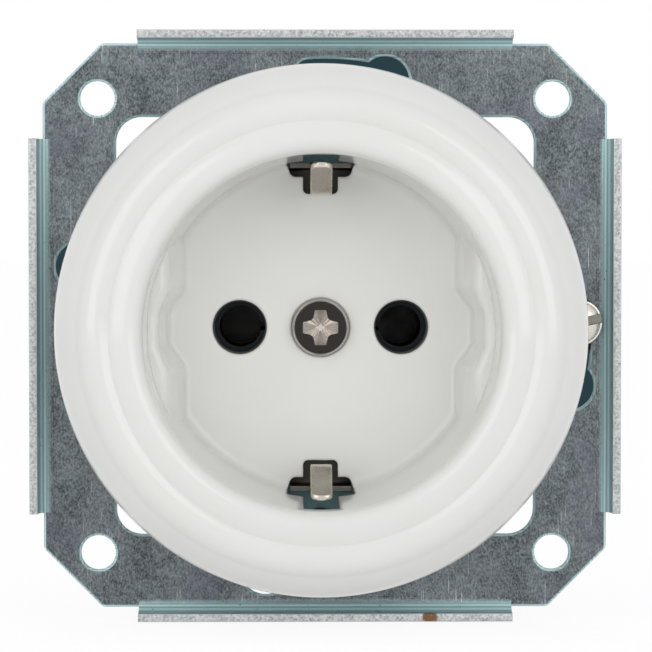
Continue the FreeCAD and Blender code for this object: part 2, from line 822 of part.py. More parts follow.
def earth_pillar():
    """Brass bush under the earth strip, threaded for the cover screw."""
    body = new_body("earth_pillar")
    pad(
        body,
        disc_sketch(body, bridge_back - s.pillar_length, (0.0, 0.0, s.pillar_diameter)),
        s.pillar_length,
    )
    bore = (0.0, 0.0, s.cover_screw_shank + s.thread_play)
    pocket(body, disc_sketch(body, bridge_back, bore), s.pillar_length)
    return body


def earth_bridge():
    """One stamped strip: web across the base, two upturned ends with fingers, and a terminal tail."""
    body = new_body("earth_bridge")
    inner = s.bridge_reach
    outer = s.bridge_reach + s.bridge_thickness
    bend = s.bridge_bend
    wide_bend = s.bridge_bend + s.bridge_thickness
    strip_section = [
        (wide_bend - outer, bridge_back),
        (outer - wide_bend, bridge_back, wide_bend),
        (outer, bridge_back + wide_bend),
        (outer, s.root_top),
        (inner, s.root_top),
        (inner, s.base_front + bend, -bend),
        (inner - bend, s.base_front),
        (bend - inner, s.base_front, -bend),
        (-inner, s.base_front + bend),
        (-inner, s.root_top),
        (-outer, s.root_top),
        (-outer, bridge_back + wide_bend, wide_bend),
    ]
    pad(body, section_sketch(body, strip_section, "YZ_Plane"), s.bridge_width, symmetric=True)

    hump = floor_front + s.hump_height
    half_hump = s.hump_length / 2
    hump_side = s.hump_reach + s.hump_round - across(s.hump_round, half_hump)
    end = floor_front + s.finger_end_height
    gauge = s.bridge_thickness
    finger_section = [
        (inner, s.base_front + bend),
        (outer, s.base_front + bend),
        (outer, s.root_top),
        (hump_side + gauge, hump - half_hump, -s.hump_round),
        (hump_side + gauge, hump + half_hump),
        (s.finger_end_reach + gauge, end),
        (s.finger_end_reach, end),
        (hump_side, hump + half_hump, s.hump_round),
        (hump_side, hump - half_hump),
        (inner, s.root_top),
    ]
    finger = pad(body, section_sketch(body, finger_section, "YZ_Plane"), s.finger_width, symmetric=True)
    repeat_round(body, [finger], 2)

    hole = (0.0, 0.0, s.cover_screw_shank + s.screw_play)
    pocket(body, disc_sketch(body, s.base_front, hole), s.bridge_thickness)
    tail_half = s.tail_width / 2
    tail = box_corners(-tail_half, tail_half, -tail_outer_face, -tail_inner_face)
    pad(body, face_sketch(body, tail_back, tail), s.base_front - tail_back)
    return body


def pole_contact(label, turn):
    """Split sleeve for a plug pin, with a tail into the terminal cage."""
    body = new_body(label, turn=turn)
    back = sleeve_front - s.sleeve_length
    pad(body, disc_sketch(body, back, (pin_reach, 0.0, sleeve_diameter)), s.sleeve_length)
    tail_start = pin_reach + (s.pin_bore + s.strip) / 2
    tail_section = [
        (tail_start, tail_front - s.tail_thickness),
        (tail_inner_face, tail_front - s.tail_thickness),
        (tail_inner_face, tail_back),
        (tail_outer_face, tail_back),
        (tail_outer_face, tail_front),
        (tail_start, tail_front),
    ]
    pad(body, section_sketch(body, tail_section), s.tail_width, symmetric=True)
    pocket(body, disc_sketch(body, sleeve_front, (pin_reach, 0.0, s.pin_bore)), s.sleeve_length)
    slit_half = s.sleeve_slit / 2
    slit = box_corners(pin_reach - sleeve_diameter, pin_reach, -slit_half, slit_half)
    pocket(body, face_sketch(body, sleeve_front, slit), s.sleeve_length)
    return body


def contact_spring(label, turn):
    """Open steel ring that squeezes a sleeve."""
    body = new_body(label, turn=turn)
    front = sleeve_front - s.spring_setback
    outside = sleeve_diameter + s.spring_wire * 2
    ring = disc_sketch(
        body, front - s.spring_width, (pin_reach, 0.0, outside), (pin_reach, 0.0, sleeve_diameter)
    )
    pad(body, ring, s.spring_width)
    gap_half = s.spring_gap / 2
    gap = box_corners(pin_reach - outside, pin_reach, -gap_half, gap_half)
    pocket(body, face_sketch(body, front, gap), s.spring_width)
    return body


def terminal_cage(label, turn):
    """Brass cage that clamps the conductors against a tail."""
    body = new_body(label, turn=turn)
    half = s.cage_width / 2
    wall = s.cage_wall
    outside = box_corners(s.cage_inner_face, cage_outer_face, -half, half)
    inside = box_corners(s.cage_inner_face + wall, cage_outer_face - wall, wall - half, half - wall)
    pad(body, face_sketch(body, cage_back, outside, inside), s.cage_height)
    side = new_sketch(body, "YZ_Plane", cage_outer_face)
    draw_circle(side, 0.0, cage_middle, s.terminal_thread + s.thread_play)
    pocket(body, side, wall)
    return body


def terminal_screw(label, turn):
    """Slotted cheese-head screw through a cage's outer wall."""
    body = new_body(label, turn=turn, reach=cage_outer_face, height=cage_middle, lean=90)
    shank = s.terminal_thread / 2
    head = s.terminal_head / 2
    section = [
        (0.0, -s.terminal_reach),
        (shank, -s.terminal_reach),
        (shank, 0.0),
        (head, 0.0),
        (head, s.terminal_rise),
        (0.0, s.terminal_rise),
    ]
    revolve(body, section_sketch(body, section))
    slot = box_corners(-s.terminal_head, s.terminal_head, -s.driver_slot / 2, s.driver_slot / 2)
    pocket(body, face_sketch(body, s.terminal_rise, slot), s.terminal_rise / 2)
    return body


def box_screw():
    """Slotted screw with a stepped domed head, for the wall box."""
    body = new_body(
        "box_screw",
        turn=s.box_screw_angle,
        reach=box_screw_reach,
        height=s.sheet,
        spin=s.box_screw_turn,
        middle=Size.of(0),
    )
    shank = s.box_screw_shank / 2
    head = s.box_screw_head / 2
    dome = head - s.box_screw_step
    section = [
        (0.0, -s.box_screw_length),
        (shank, -s.box_screw_length),
        (shank, 0.0),
        (head, 0.0),
        (head, s.box_screw_rim),
        (dome, s.box_screw_rim, dome_radius(dome, s.box_screw_rise - s.box_screw_rim)),
        (0.0, s.box_screw_rise),
    ]
    revolve(body, section_sketch(body, section))
    slot_half = s.box_screw_slot / 2
    slot = box_corners(-s.box_screw_head, s.box_screw_head, -slot_half, slot_half)
    pocket(body, face_sketch(body, s.box_screw_rise, slot), s.box_screw_rise / 2)
    return body


def screw_retainer():
    """Washer behind the plate that keeps the box screw from falling out."""
    body = new_body(
        "screw_retainer",
        turn=s.box_screw_angle,
        reach=box_screw_reach,
        height=-s.retainer_thickness,
        middle=Size.of(0),
    )
    washer = disc_sketch(
        body,
        0.0,
        (0.0, 0.0, s.retainer_diameter),
        (0.0, 0.0, s.box_screw_shank + s.thread_play),
    )
    pad(body, washer, s.retainer_thickness)
    return body


def write_parts(pieces):
    """Check every object of the document, then write each piece to its own file."""
    doc.recompute()
    for item in doc.Objects:
        if "Invalid" in item.State or "Error" in item.State:
            raise RuntimeError(f"{item.Label} failed: {item.State}")
    for piece in pieces:
        if piece.Shape.isNull() or not piece.Shape.isValid():
            raise RuntimeError(f"{piece.Label} has no valid shape")
    os.makedirs("parts", exist_ok=True)
    for piece in pieces:
        piece.Shape.exportStep(f"parts/{piece.Label}.step")
        print(piece.Label, len(piece.Shape.Solids), round(piece.Shape.Volume, 2))


rivets = [plate_rivet("upper_plate_rivet", UP), plate_rivet("lower_plate_rivet", DOWN)]
cap_screws = [
    rear_cap_screw("upper_cap_screw", DIAGONAL),
    rear_cap_screw("lower_cap_screw", DIAGONAL + LEFT),
]
poles = (("live", LEFT), ("neutral", RIGHT))
terminals = (*poles, ("earth", DOWN))
write_parts(
    [
        support_plate(),
        front_cover(),
        cover_screw(),
        contact_base(),
        rear_cap(),
        group("rear_cap_screws", cap_screws),
        group("plate_rivets", rivets),
        earth_pillar(),
        earth_bridge(),
        *(pole_contact(f"{pole}_contact", turn) for pole, turn in poles),
        *(contact_spring(f"{pole}_contact_spring", turn) for pole, turn in poles),
        *(terminal_cage(f"{pole}_terminal_cage", turn) for pole, turn in terminals),
        *(terminal_screw(f"{pole}_terminal_screw", turn) for pole, turn in terminals),
        box_screw(),
        screw_retainer(),
    ]
)
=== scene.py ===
"""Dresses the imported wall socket: white moulded cover, zinc-plated plate, earth fingers and screws.

Lengths in the classes are millimetres, as on the maker's drawing: x to the right, y up the wall and
height out of the wall. They become metres in the part's frame, which faces -Y, when a mesh is made.
"""

from __future__ import annotations

import logging
import math
from collections.abc import Iterable, Sequence
from dataclasses import dataclass, replace
from enum import Enum

import bmesh
import bpy
from mathutils import Matrix, Vector

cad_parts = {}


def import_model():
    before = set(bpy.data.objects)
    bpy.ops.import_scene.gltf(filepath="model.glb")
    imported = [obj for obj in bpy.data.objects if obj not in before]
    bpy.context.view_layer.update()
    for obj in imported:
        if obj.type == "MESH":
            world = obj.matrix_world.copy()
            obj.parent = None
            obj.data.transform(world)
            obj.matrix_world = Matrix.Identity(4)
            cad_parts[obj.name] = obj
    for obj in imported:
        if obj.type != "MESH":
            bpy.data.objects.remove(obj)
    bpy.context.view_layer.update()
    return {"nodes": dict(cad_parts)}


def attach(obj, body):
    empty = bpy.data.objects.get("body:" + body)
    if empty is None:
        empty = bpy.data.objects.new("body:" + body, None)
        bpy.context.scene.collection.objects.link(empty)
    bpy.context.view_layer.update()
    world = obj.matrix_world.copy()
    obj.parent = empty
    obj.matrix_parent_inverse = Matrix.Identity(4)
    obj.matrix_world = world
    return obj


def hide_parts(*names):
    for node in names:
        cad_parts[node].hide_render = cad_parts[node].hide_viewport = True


Point = tuple[float, float]
Place = tuple[float, float, float]
Colour = tuple[float, float, float]
Shape = bmesh.types.BMesh
Socket = bpy.types.NodeSocket

LOG = logging.getLogger("wall_socket")
BODY = "root"
MM = 0.001

# Drawing millimetres to the part's frame in metres
STAND = Matrix(((MM, 0, 0, 0), (0, 0, -MM, 0), (0, MM, 0, 0), (0, 0, 0, 1)))
# The socket's axis lies a little left of the plate's middle
AXIS_X = -0.6
MECHANISM_SHIFT = Matrix.Translation((AXIS_X, 0.0, 0.0))
HALF_TURN = Matrix.Rotation(math.pi, 4, "Z")
# Heights above the wall and sizes that several pieces share
BASE_FRONT = 3.0
FLOOR = 5.0
SHEET = 1.0
RIVET_REACH = 23.6
# How far cutters reach past what they cut
CUT_PAST = 0.5
SLOT_OVERRUN = 1.2
SLOT_CLEARANCE = 1.5
# Points nearer to the axis than this lie on it
AXIS_TOUCH = 1e-6
# Shading: edges that stay sharp, and faces that count as level
SHARP_ANGLE = math.radians(32.0)
LEVEL_FACE = 0.99999
EDGE_SAMPLES = 6
NOISE_ROUGHNESS = 0.6
WHITE_LIGHT = (1.0, 1.0, 1.0, 1.0)
EVEN: Place = (1.0, 1.0, 1.0)


class Slot(Enum):
    """Material slots of the record."""

    WHITE_GLOSS = "white_gloss"
    ZINC_PLATE = "zinc_plate"
    DARK_THERMOSET = "dark_thermoset"
    NICKEL = "nickel"
    RIVET_STEEL = "rivet_steel"
    BRASS = "brass"
    SPRING_STEEL = "spring_steel"
    FIBRE = "fibre"


class Turn(Enum):
    """Which way an arc bends along an outline."""

    LEFT = 1.0
    RIGHT = -1.0


class Carve(Enum):
    """How one shape changes another."""

    CUT = "DIFFERENCE"
    ADD = "UNION"


def arc(start: Point, end: Point, radius: float, turn: Turn, steps: int) -> list[Point]:
    """Points of a short arc between two corners, without its last point.

    Args:
        start: First corner.
        end: Last corner.
        radius: Radius of the arc, at least half the distance between the corners.
        turn: The way the arc bends.
        steps: Number of straight steps.

    Returns:
        The points from the first corner up to the one before the last corner.
    """
    first, last = Vector(start), Vector(end)
    chord = last - first
    left = Vector((-chord.y, chord.x)).normalized()
    rise = math.sqrt(max(radius**2 - (chord.length / 2) ** 2, 0.0))
    centre = (first + last) / 2 + left * rise * turn.value
    begin = math.atan2(first.y - centre.y, first.x - centre.x)
    finish = math.atan2(last.y - centre.y, last.x - centre.x)
    sweep = (finish - begin) % math.tau
    if turn is Turn.RIGHT:
        sweep -= math.tau
    angles = [begin + sweep * step / steps for step in range(steps)]
    return [(centre.x + radius * math.cos(a), centre.y + radius * math.sin(a)) for a in angles]


def straight(start: Point, end: Point, steps: int) -> list[Point]:
    """Points along a straight run, without its last point."""
    (x, y), (far_x, far_y) = start, end
    return [(x + (far_x - x) * step / steps, y + (far_y - y) * step / steps) for step in range(steps)]


def circle(x: float, y: float, radius: float, steps: int = 64) -> list[Point]:
    """Points of a full circle."""
    angles = [math.tau * step / steps for step in range(steps)]
    return [(x + radius * math.cos(angle), y + radius * math.sin(angle)) for angle in angles]


def round_corners(corners: Sequence[Point], radii: Sequence[float], steps: int = 6) -> list[Point]:
    """Round the corners of a closed polygon.

    Args:
        corners: Corners in order.
        radii: Radius at each corner, 0 for a sharp one.
        steps: Straight steps of each rounded corner.

    Returns:
        The points of the rounded outline.
    """
    points: list[Point] = []
    count = len(corners)
    for i, radius in enumerate(radii):
        here = Vector(corners[i])
        if radius == 0:
            points.append(tuple(here))
            continue
        back = (Vector(corners[i - 1]) - here).normalized()
        ahead = (Vector(corners[(i + 1) % count]) - here).normalized()
        reach = radius / math.tan(back.angle(ahead) / 2)
        turn = Turn.LEFT if (-back).cross(ahead) > 0 else Turn.RIGHT
        end = tuple(here + ahead * reach)
        points += arc(tuple(here + back * reach), end, radius, turn, steps)
        points.append(end)
    return points


def quarter_turned(outline: Sequence[Point]) -> list[list[Point]]:
    """One side's outline, turned to each of the four sides.

    Args:
        outline: Points on the right-hand side.

    Returns:
        The outline on the right, the top, the left and the bottom.
    """
    sides = [list(outline)]
    for _ in range(3):
        sides.append([(-y, x) for x, y in sides[-1]])
    return sides


def polar(radius: float, degrees: float) -> Point:
    """Point at a radius and an angle from the right."""
    angle = math.radians(degrees)
    return (radius * math.cos(angle), radius * math.sin(angle))


def at_height(outline: Iterable[Point], height: float) -> list[Place]:
    """Lift a flat outline to a height."""
    return [(x, y, height) for x, y in outline]


def to_frame(x: float, y: float, height: float) -> Vector:
    """Turn a place on the drawing into the part's frame, in metres."""
    return Vector((x, -height, y)) * MM


def lathe(profile: Sequence[Point], steps: int, closed: bool = False) -> Shape:
    """Turn a profile of (radius, height) points about the height axis.

    Args:
        profile: Points of the section, which start and end on the axis unless it is closed.
        steps: Number of facets round the axis.
        closed: Whether the last point joins the first.

    Returns:
        A closed shape in drawing millimetres.
    """
    mesh = bmesh.new()
    rings = []
    for radius, height in profile:
        spokes = 1 if radius < AXIS_TOUCH else steps
        rings.append([mesh.verts.new((*polar(radius, 360.0 * i / steps), height)) for i in range(spokes)])
    following = rings[1:] + rings[:1] if closed else rings[1:]
    for low, high in zip(rings, following):
        for i in range(steps):
            j = (i + 1) % steps
            quad = (low[i % len(low)], low[j % len(low)], high[j % len(high)], high[i % len(high)])
            corners = list(dict.fromkeys(quad))
            if len(corners) > 2:
                mesh.faces.new(corners)
    bmesh.ops.recalc_face_normals(mesh, faces=mesh.faces)
    return mesh


def loft(levels: Sequence[Sequence[Place]]) -> Shape:
    """Join closed outlines of equal length, in order, and cap both ends.

    Args:
        levels: Outlines of (x, y, height) points.

    Returns:
        A closed shape in drawing millimetres.
    """
    mesh = bmesh.new()
    rings = [[mesh.verts.new(point) for point in level] for level in levels]
    for low, high in zip(rings, rings[1:]):
        count = len(low)
        for i in range(count):
            j = (i + 1) % count
            mesh.faces.new((low[i], low[j], high[j], high[i]))
    mesh.faces.new(rings[0])
    mesh.faces.new(rings[-1])
    bmesh.ops.recalc_face_normals(mesh, faces=mesh.faces)
    return mesh


def upright(outline: Sequence[Point], low: float, high: float) -> Shape:
    """Raise an outline from one height to another."""
    return loft([at_height(outline, low), at_height(outline, high)])


def driver_slot(head: float, width: float, bottom: float, rise: float) -> Shape:
    """Cutter for a straight driver slot that runs out of a screw's head at both ends.

    Args:
        head: Radius of the head.
        width: Width of the slot.
        bottom: Height of the slot's floor above the underside of the head.
        rise: Height of the head.

    Returns:
        A closed shape in drawing millimetres, along the screw's own axis.
    """
    half, reach = width / 2, head * SLOT_OVERRUN
    outline = [(-reach, -half), (reach, -half), (reach, half), (-reach, half)]
    return upright(outline, bottom, rise * SLOT_CLEARANCE)


def dome_radius(half_width: float, rise: float) -> float:
    """Radius of a round cap of a half width and a rise."""
    return (half_width**2 + rise**2) / (2 * rise)


def scratch_object(name: str, mesh: Shape) -> bpy.types.Object:
    """Put a shape in the scene.

    Args:
        name: Name of the object.
        mesh: The shape. It is used up.

    Returns:
        The object, in the shape's own units.
    """
    data = bpy.data.meshes.new(name)
    mesh.to_mesh(data)
    mesh.free()
    item = bpy.data.objects.new(name, data)
    bpy.context.scene.collection.objects.link(item)
    return item


def evaluated_shape(item: bpy.types.Object) -> Shape:
    """Take the finished mesh of an object with modifiers or of a curve.

    Args:
        item: The object. It is removed.

    Returns:
        Its plain shape.
    """
    depsgraph = bpy.context.evaluated_depsgraph_get()
    data = bpy.data.meshes.new_from_object(item.evaluated_get(depsgraph), depsgraph=depsgraph)
    result = bmesh.new()
    result.from_mesh(data)
    bpy.data.meshes.remove(data)
    bpy.data.objects.remove(item)
    return result


def carve(shape: Shape, tools: Sequence[Shape], how: Carve) -> Shape:
    """Cut tools out of a shape, or add them to it.

    Args:
        shape: The shape to change. It is used up.
        tools: Closed shapes. They are used up.
        how: Whether to cut or to add.

    Returns:
        The changed shape.
    """
    target = scratch_object("shape", shape)
    cutters = [scratch_object("tool", tool) for tool in tools]
    for cutter in cutters:
        modifier = target.modifiers.new("carve", "BOOLEAN")
        modifier.object = cutter
        modifier.operation = how.value
        modifier.solver = "EXACT"
    result = evaluated_shape(target)
    for cutter in cutters:
        bpy.data.objects.remove(cutter)
    return result


def punched_sheet(
    outline: Sequence[Point], holes: Sequence[Sequence[Point]], thickness: float, edge: float
) -> Shape:
    """Sheet with holes and softly rounded edges, standing on height 0.

    Args:
        outline: Outer outline.
        holes: Outlines of the holes.
        thickness: Thickness of the sheet.
        edge: Radius of its edges.

    Returns:
        A closed shape in drawing millimetres.
    """
    curve = bpy.data.curves.new("sheet", "CURVE")
    curve.dimensions = "2D"
    curve.fill_mode = "BOTH"
    curve.extrude = thickness / 2 - edge
    curve.bevel_depth = edge
    curve.bevel_resolution = 3
    curve.offset = -edge
    for points in (outline, *holes):
        spline = curve.splines.new("POLY")
        spline.points.add(len(points) - 1)
        for place, (x, y) in zip(spline.points, points):
            place.co = (x, y, 0.0, 1.0)
        spline.use_cyclic_u = True
    item = bpy.data.objects.new("sheet", curve)
    bpy.context.scene.collection.objects.link(item)
    shape = evaluated_shape(item)
    bmesh.ops.remove_doubles(shape, verts=shape.verts, dist=edge / 100)
    bmesh.ops.translate(shape, verts=shape.verts, vec=(0, 0, thickness / 2))
    return shape


def joined(shapes: Iterable[Shape]) -> Shape:
    """Gather closed shapes in one mesh.

    Args:
        shapes: The shapes. They are used up.

    Returns:
        One shape with all of them.
    """
    result = bmesh.new()
    for shape in shapes:
        data = bpy.data.meshes.new("gathered")
        shape.to_mesh(data)
        shape.free()
        result.from_mesh(data)
        bpy.data.meshes.remove(data)
    return result


def moved(shape: Shape, matrix: Matrix) -> Shape:
    """Move or turn a shape and return it."""
    shape.transform(matrix)
    return shape


def smooth_round(data: bpy.types.Mesh) -> None:
    """Shade a mesh smoothly between its sharp edges."""
    data.shade_smooth()
    data.set_sharp_from_angle(angle=SHARP_ANGLE)


def stand_piece(
    name: str, shape: Shape, material: bpy.types.Material, stands_for: Sequence[str]
) -> bpy.types.Object:
    """Make a finished piece of a shape and let it ride on the part.

    Args:
        name: Name of the piece.
        shape: Shape in drawing millimetres. It is used up.
        material: Its finish.
        stands_for: Nodes that it replaces.

    Returns:
        The piece, at the origin, with its place in its mesh.
    """
    piece = scratch_object(name, moved(shape, STAND))
    data = piece.data
    data.materials.append(material)
    smooth_round(data)
    for face in data.polygons:
        face.use_smooth = abs(face.normal.y) < LEVEL_FACE
    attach(piece, BODY)
    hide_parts(*stands_for)
    LOG.info("%s: %d faces", name, len(data.polygons))
    return piece


class NodeLayout:
    """Lays out the nodes of a tree."""

    def __init__(self, tree: bpy.types.NodeTree) -> None:
        """Take a tree to lay out."""
        self.tree = tree

    def add(self, kind: str, inputs: dict[str | int, object], **settings: object) -> bpy.types.Node:
        """Add a node.

        Args:
            kind: Type of the node.
            inputs: A value or another node's output for each named or numbered input.
            settings: Properties of the node.

        Returns:
            The node.
        """
        node = self.tree.nodes.new(kind)
        for key, value in settings.items():
            setattr(node, key, value)
        for key, value in inputs.items():
            self.feed(node.inputs[key], value)
        return node

    def feed(self, target: Socket, value: object) -> None:
        """Set an input, or link another node's output to it.

        Args:
            target: The input.
            value: A value or an output.
        """
        if isinstance(value, Socket):
            self.tree.links.new(value, target)
        else:
            target.default_value = value

    def combine(self, how: str, first: object, second: object) -> Socket:
        """Join two values by a kind of arithmetic."""
        return self.add("ShaderNodeMath", {0: first, 1: second}, operation=how).outputs["Value"]

    def background_rays(self) -> Socket:
        """Tell the rays that see the background: from the camera, mirrored or through glass.

        Returns:
            An output that is 1 for those rays and 0 for all others.
        """
        path = self.add("ShaderNodeLightPath", {}).outputs
        mirrored = self.combine("MAXIMUM", path["Is Camera Ray"], path["Is Glossy Ray"])
        return self.combine("MAXIMUM", mirrored, path["Is Transmission Ray"])


@dataclass(frozen=True)
class Pattern:
    """Cloudy pattern, and the part of its range that shows."""

    size: float
    detail: float = 3.0
    stretch: Place = EVEN
    start: float = 0.3
    end: float = 0.7
    low: float = 0.0
    high: float = 1.0


class Shader(NodeLayout):
    """Lays out the nodes of one material, all in the part's own coordinates."""

    def __init__(self, name: str) -> None:
        """Start a material that has a surface and nothing on it.

        Args:
            name: Name of the material.
        """
        self.material = bpy.data.materials.new(name)
        self.material.use_nodes = True
        super().__init__(self.material.node_tree)
        self.tree.nodes.clear()
        self.surface = self.add("ShaderNodeBsdfPrincipled", {})
        self.output = self.add("ShaderNodeOutputMaterial", {"Surface": self.surface.outputs["BSDF"]})
        self.place = self.add("ShaderNodeTexCoord", {}).outputs["Object"]

    def paint(self, **inputs: object) -> None:
        """Set inputs of the surface, with underscores for the spaces in their names."""
        for key, value in inputs.items():
            self.feed(self.surface.inputs[key.replace("_", " ")], value)

    def finish(self, shading: Socket) -> None:
        """Show another shading in place of the surface."""
        self.feed(self.output.inputs["Surface"], shading)

    def mix(self, share: Socket, first: Socket, second: Socket) -> None:
        """Show one shading, and another by a share."""
        mixed = self.add("ShaderNodeMixShader", {0: share, 1: first, 2: second})
        self.finish(mixed.outputs["Shader"])

    def glow(self, colour: Sequence[float], strength: float) -> Socket:
        """Shading that gives light."""
        return self.add("ShaderNodeEmission", {"Color": colour, "Strength": strength}).outputs["Emission"]

    def spread(self, size: float, stretch: Place = EVEN) -> Socket:
        """Coordinates that grow by 1 in so many millimetres, times a stretch along each axis."""
        scale = tuple(1 / (size * MM * along) for along in stretch)
        return self.add("ShaderNodeMapping", {"Vector": self.place, "Scale": scale}).outputs["Vector"]

    def noise(self, size: float, detail: float = 3.0, stretch: Place = EVEN) -> Socket:
        """Cloudy pattern from 0 to 1.

        Args:
            size: Width of a cloud in millimetres.
            detail: Number of finer layers.
            stretch: How much longer the clouds are along each axis.

        Returns:
            The pattern's output.
        """
        inputs = {
            "Vector": self.spread(size, stretch),
            "Scale": 1.0,
            "Detail": detail,
            "Roughness": NOISE_ROUGHNESS,
        }
        return self.add("ShaderNodeTexNoise", inputs).outputs["Fac"]

    def pattern(self, chosen: Pattern) -> Socket:
        """Cloudy pattern, stretched to the range that it asks for."""
        clouds = self.noise(chosen.size, chosen.detail, chosen.stretch)
        return self.band(clouds, chosen.start, chosen.end, chosen.low, chosen.high)

    def cells(self, size: float) -> Socket:
        """Flat crystal cells, each with its own random level.

        Args:
            size: Width of a cell in millimetres.

        Returns:
            An output from 0 to 1.
        """
        inputs = {"Vector": self.spread(size), "Scale": 1.0}
        colour = self.add("ShaderNodeTexVoronoi", inputs).outputs["Color"]
        return self.add("ShaderNodeSeparateColor", {"Color": colour}).outputs["Red"]

    def axis(self, name: str) -> Socket:
        """One of the frame's coordinates, in metres."""
        return self.add("ShaderNodeSeparateXYZ", {"Vector": self.place}).outputs[name]

    def band(self, value: Socket, start: float, end: float, low: float = 0.0, high: float = 1.0) -> Socket:
        """Stretch the part of a value between start and end to the range from low to high."""
        inputs = {"Value": value, 1: start, 2: end, 3: low, 4: high}
        return self.add("ShaderNodeMapRange", inputs).outputs["Result"]

    def near(self, place: Place, radius: float) -> Socket:
        """Spot that fades from its middle.

        Args:
            place: Its middle on the drawing.
            radius: Where it ends, in millimetres.

        Returns:
            An output that is 1 in the middle and 0 from the radius on.
        """
        inputs = {0: self.place, 1: to_frame(*place)}
        apart = self.add("ShaderNodeVectorMath", inputs, operation="DISTANCE").outputs["Value"]
        return self.band(apart, radius * MM, 0.0)

    def facing(self) -> Socket:
        """How far the surface faces the front.

        Returns:
            An output that is 1 on the flat, 0 on a side and -1 on the back.
        """
        normal = self.add("ShaderNodeTexCoord", {}).outputs["Normal"]
        inward = self.add("ShaderNodeSeparateXYZ", {"Vector": normal}).outputs["Y"]
        return self.combine("MULTIPLY", inward, -1.0)

    def from_axis(self, x: float) -> Socket:
        """Distance from a line straight out of the wall.

        Args:
            x: Place of that line across the drawing.

        Returns:
            The distance in metres.
        """
        inputs = {"Vector": self.place, "Location": (-x * MM, 0.0, 0.0), "Scale": (1.0, 0.0, 1.0)}
        flat = self.add("ShaderNodeMapping", inputs).outputs["Vector"]
        return self.add("ShaderNodeVectorMath", {0: flat}, operation="LENGTH").outputs["Value"]

    def laid(self, name: str) -> Socket:
        """The output that now feeds an input of the surface."""
        return self.surface.inputs[name].links[0].from_socket

    def blend(self, factor: Socket, first: object, second: object) -> Socket:
        """Colour between two others.

        Args:
            factor: Share of the second one.
            first: A colour or an output.
            second: A colour or an output.

        Returns:
            The blended colour.
        """
        colours = [(*c, 1.0) if isinstance(c, tuple) else c for c in (first, second)]
        inputs = {0: factor, 6: colours[0], 7: colours[1]}
        return self.add("ShaderNodeMix", inputs, data_type="RGBA").outputs[2]

    def soft_edges(self, radius: float) -> Socket:
        """Surface direction with edges rounded by a radius in millimetres."""
        return self.add("ShaderNodeBevel", {"Radius": radius * MM}, samples=EDGE_SAMPLES).outputs["Normal"]

    def relief(self, height: Socket, depth: float, normal: Socket) -> Socket:
        """Bend the surface direction by a height pattern of a depth in millimetres."""
        inputs = {"Height": height, "Strength": 1.0, "Distance": depth * MM, "Normal": normal}
        return self.add("ShaderNodeBump", inputs).outputs["Normal"]


@dataclass(frozen=True)
class Finish:
    """A surface finish of the object."""

    name: str
    slot: Slot

    def dress(self, shader: Shader) -> None:
        """Lay the finish's patterns on a surface."""
        raise NotImplementedError

    def material(self) -> bpy.types.Material:
        """Make the finish's material.

        Returns:
            The material.
        """
        shader = Shader(self.name)
        self.dress(shader)
        return shader.material


@dataclass(frozen=True)
class Moulding(Finish):
    """Moulded plastic, with faint clouds and an almost flat skin."""

    pale: Colour
    dull: Colour
    gloss: float
    gloss_range: Point = (0.8, 1.3)
    cloud_size: float = 11.0
    marks_per_cloud: float = 3.0
    mark_detail: float = 5.0
    skin_size: float = 1.3
    skin_depth: float = 0.002
    edge: float = 0.25
    ior: float = 1.5

    def dress(self, shader: Shader) -> None:
        """Lay clouds of colour, a little unevenness of gloss and a rippled skin.

        Args:
            shader: The material's nodes.
        """
        clouds = shader.pattern(Pattern(self.cloud_size))
        glossy, dull = (self.gloss * share for share in self.gloss_range)
        marks = Pattern(self.cloud_size / self.marks_per_cloud, self.mark_detail, low=glossy, high=dull)
        skin = shader.relief(shader.noise(self.skin_size), self.skin_depth, shader.soft_edges(self.edge))
        shader.paint(
            Base_Color=shader.blend(clouds, self.pale, self.dull),
            Roughness=shader.pattern(marks),
            IOR=self.ior,
            Normal=skin,
        )


@dataclass(frozen=True)
class Metal(Finish):
    """Bare or plated metal, with grain and duller clouds."""

    pale: Colour
    dark: Colour
    roughness: float
    roughness_range: Point = (0.8, 1.25)
    grain_size: float = 0.25
    grain_detail: float = 4.0
    grain_band: Point = (0.25, 0.75)
    grain_share: float = 0.6
    grain_depth: float = 0.004
    cloud_size: float = 4.0
    cloud_band: Point = (0.3, 0.7)
    cloud_share: float = 0.4
    edge: float = 0.12

    def dress(self, shader: Shader) -> None:
        """Lay grain and clouds of colour, roughness and relief.

        Args:
            shader: The material's nodes.
        """
        grain = shader.noise(self.grain_size, self.grain_detail)
        clouds = shader.noise(self.cloud_size)
        grainy = shader.band(grain, *self.grain_band, 0.0, self.grain_share)
        cloudy = shader.band(clouds, *self.cloud_band, 0.0, self.cloud_share)
        shader.paint(
            Base_Color=shader.blend(shader.combine("ADD", grainy, cloudy), self.dark, self.pale),
            Metallic=1.0,
            Roughness=self.uneven(shader, clouds),
            Normal=shader.relief(grain, self.grain_depth, shader.soft_edges(self.edge)),
        )

    def uneven(self, shader: Shader, clouds: Socket) -> Socket:
        """Roughness that follows the clouds."""
        smooth, rough = (self.roughness * share for share in self.roughness_range)
        return shader.band(clouds, *self.cloud_band, smooth, rough)


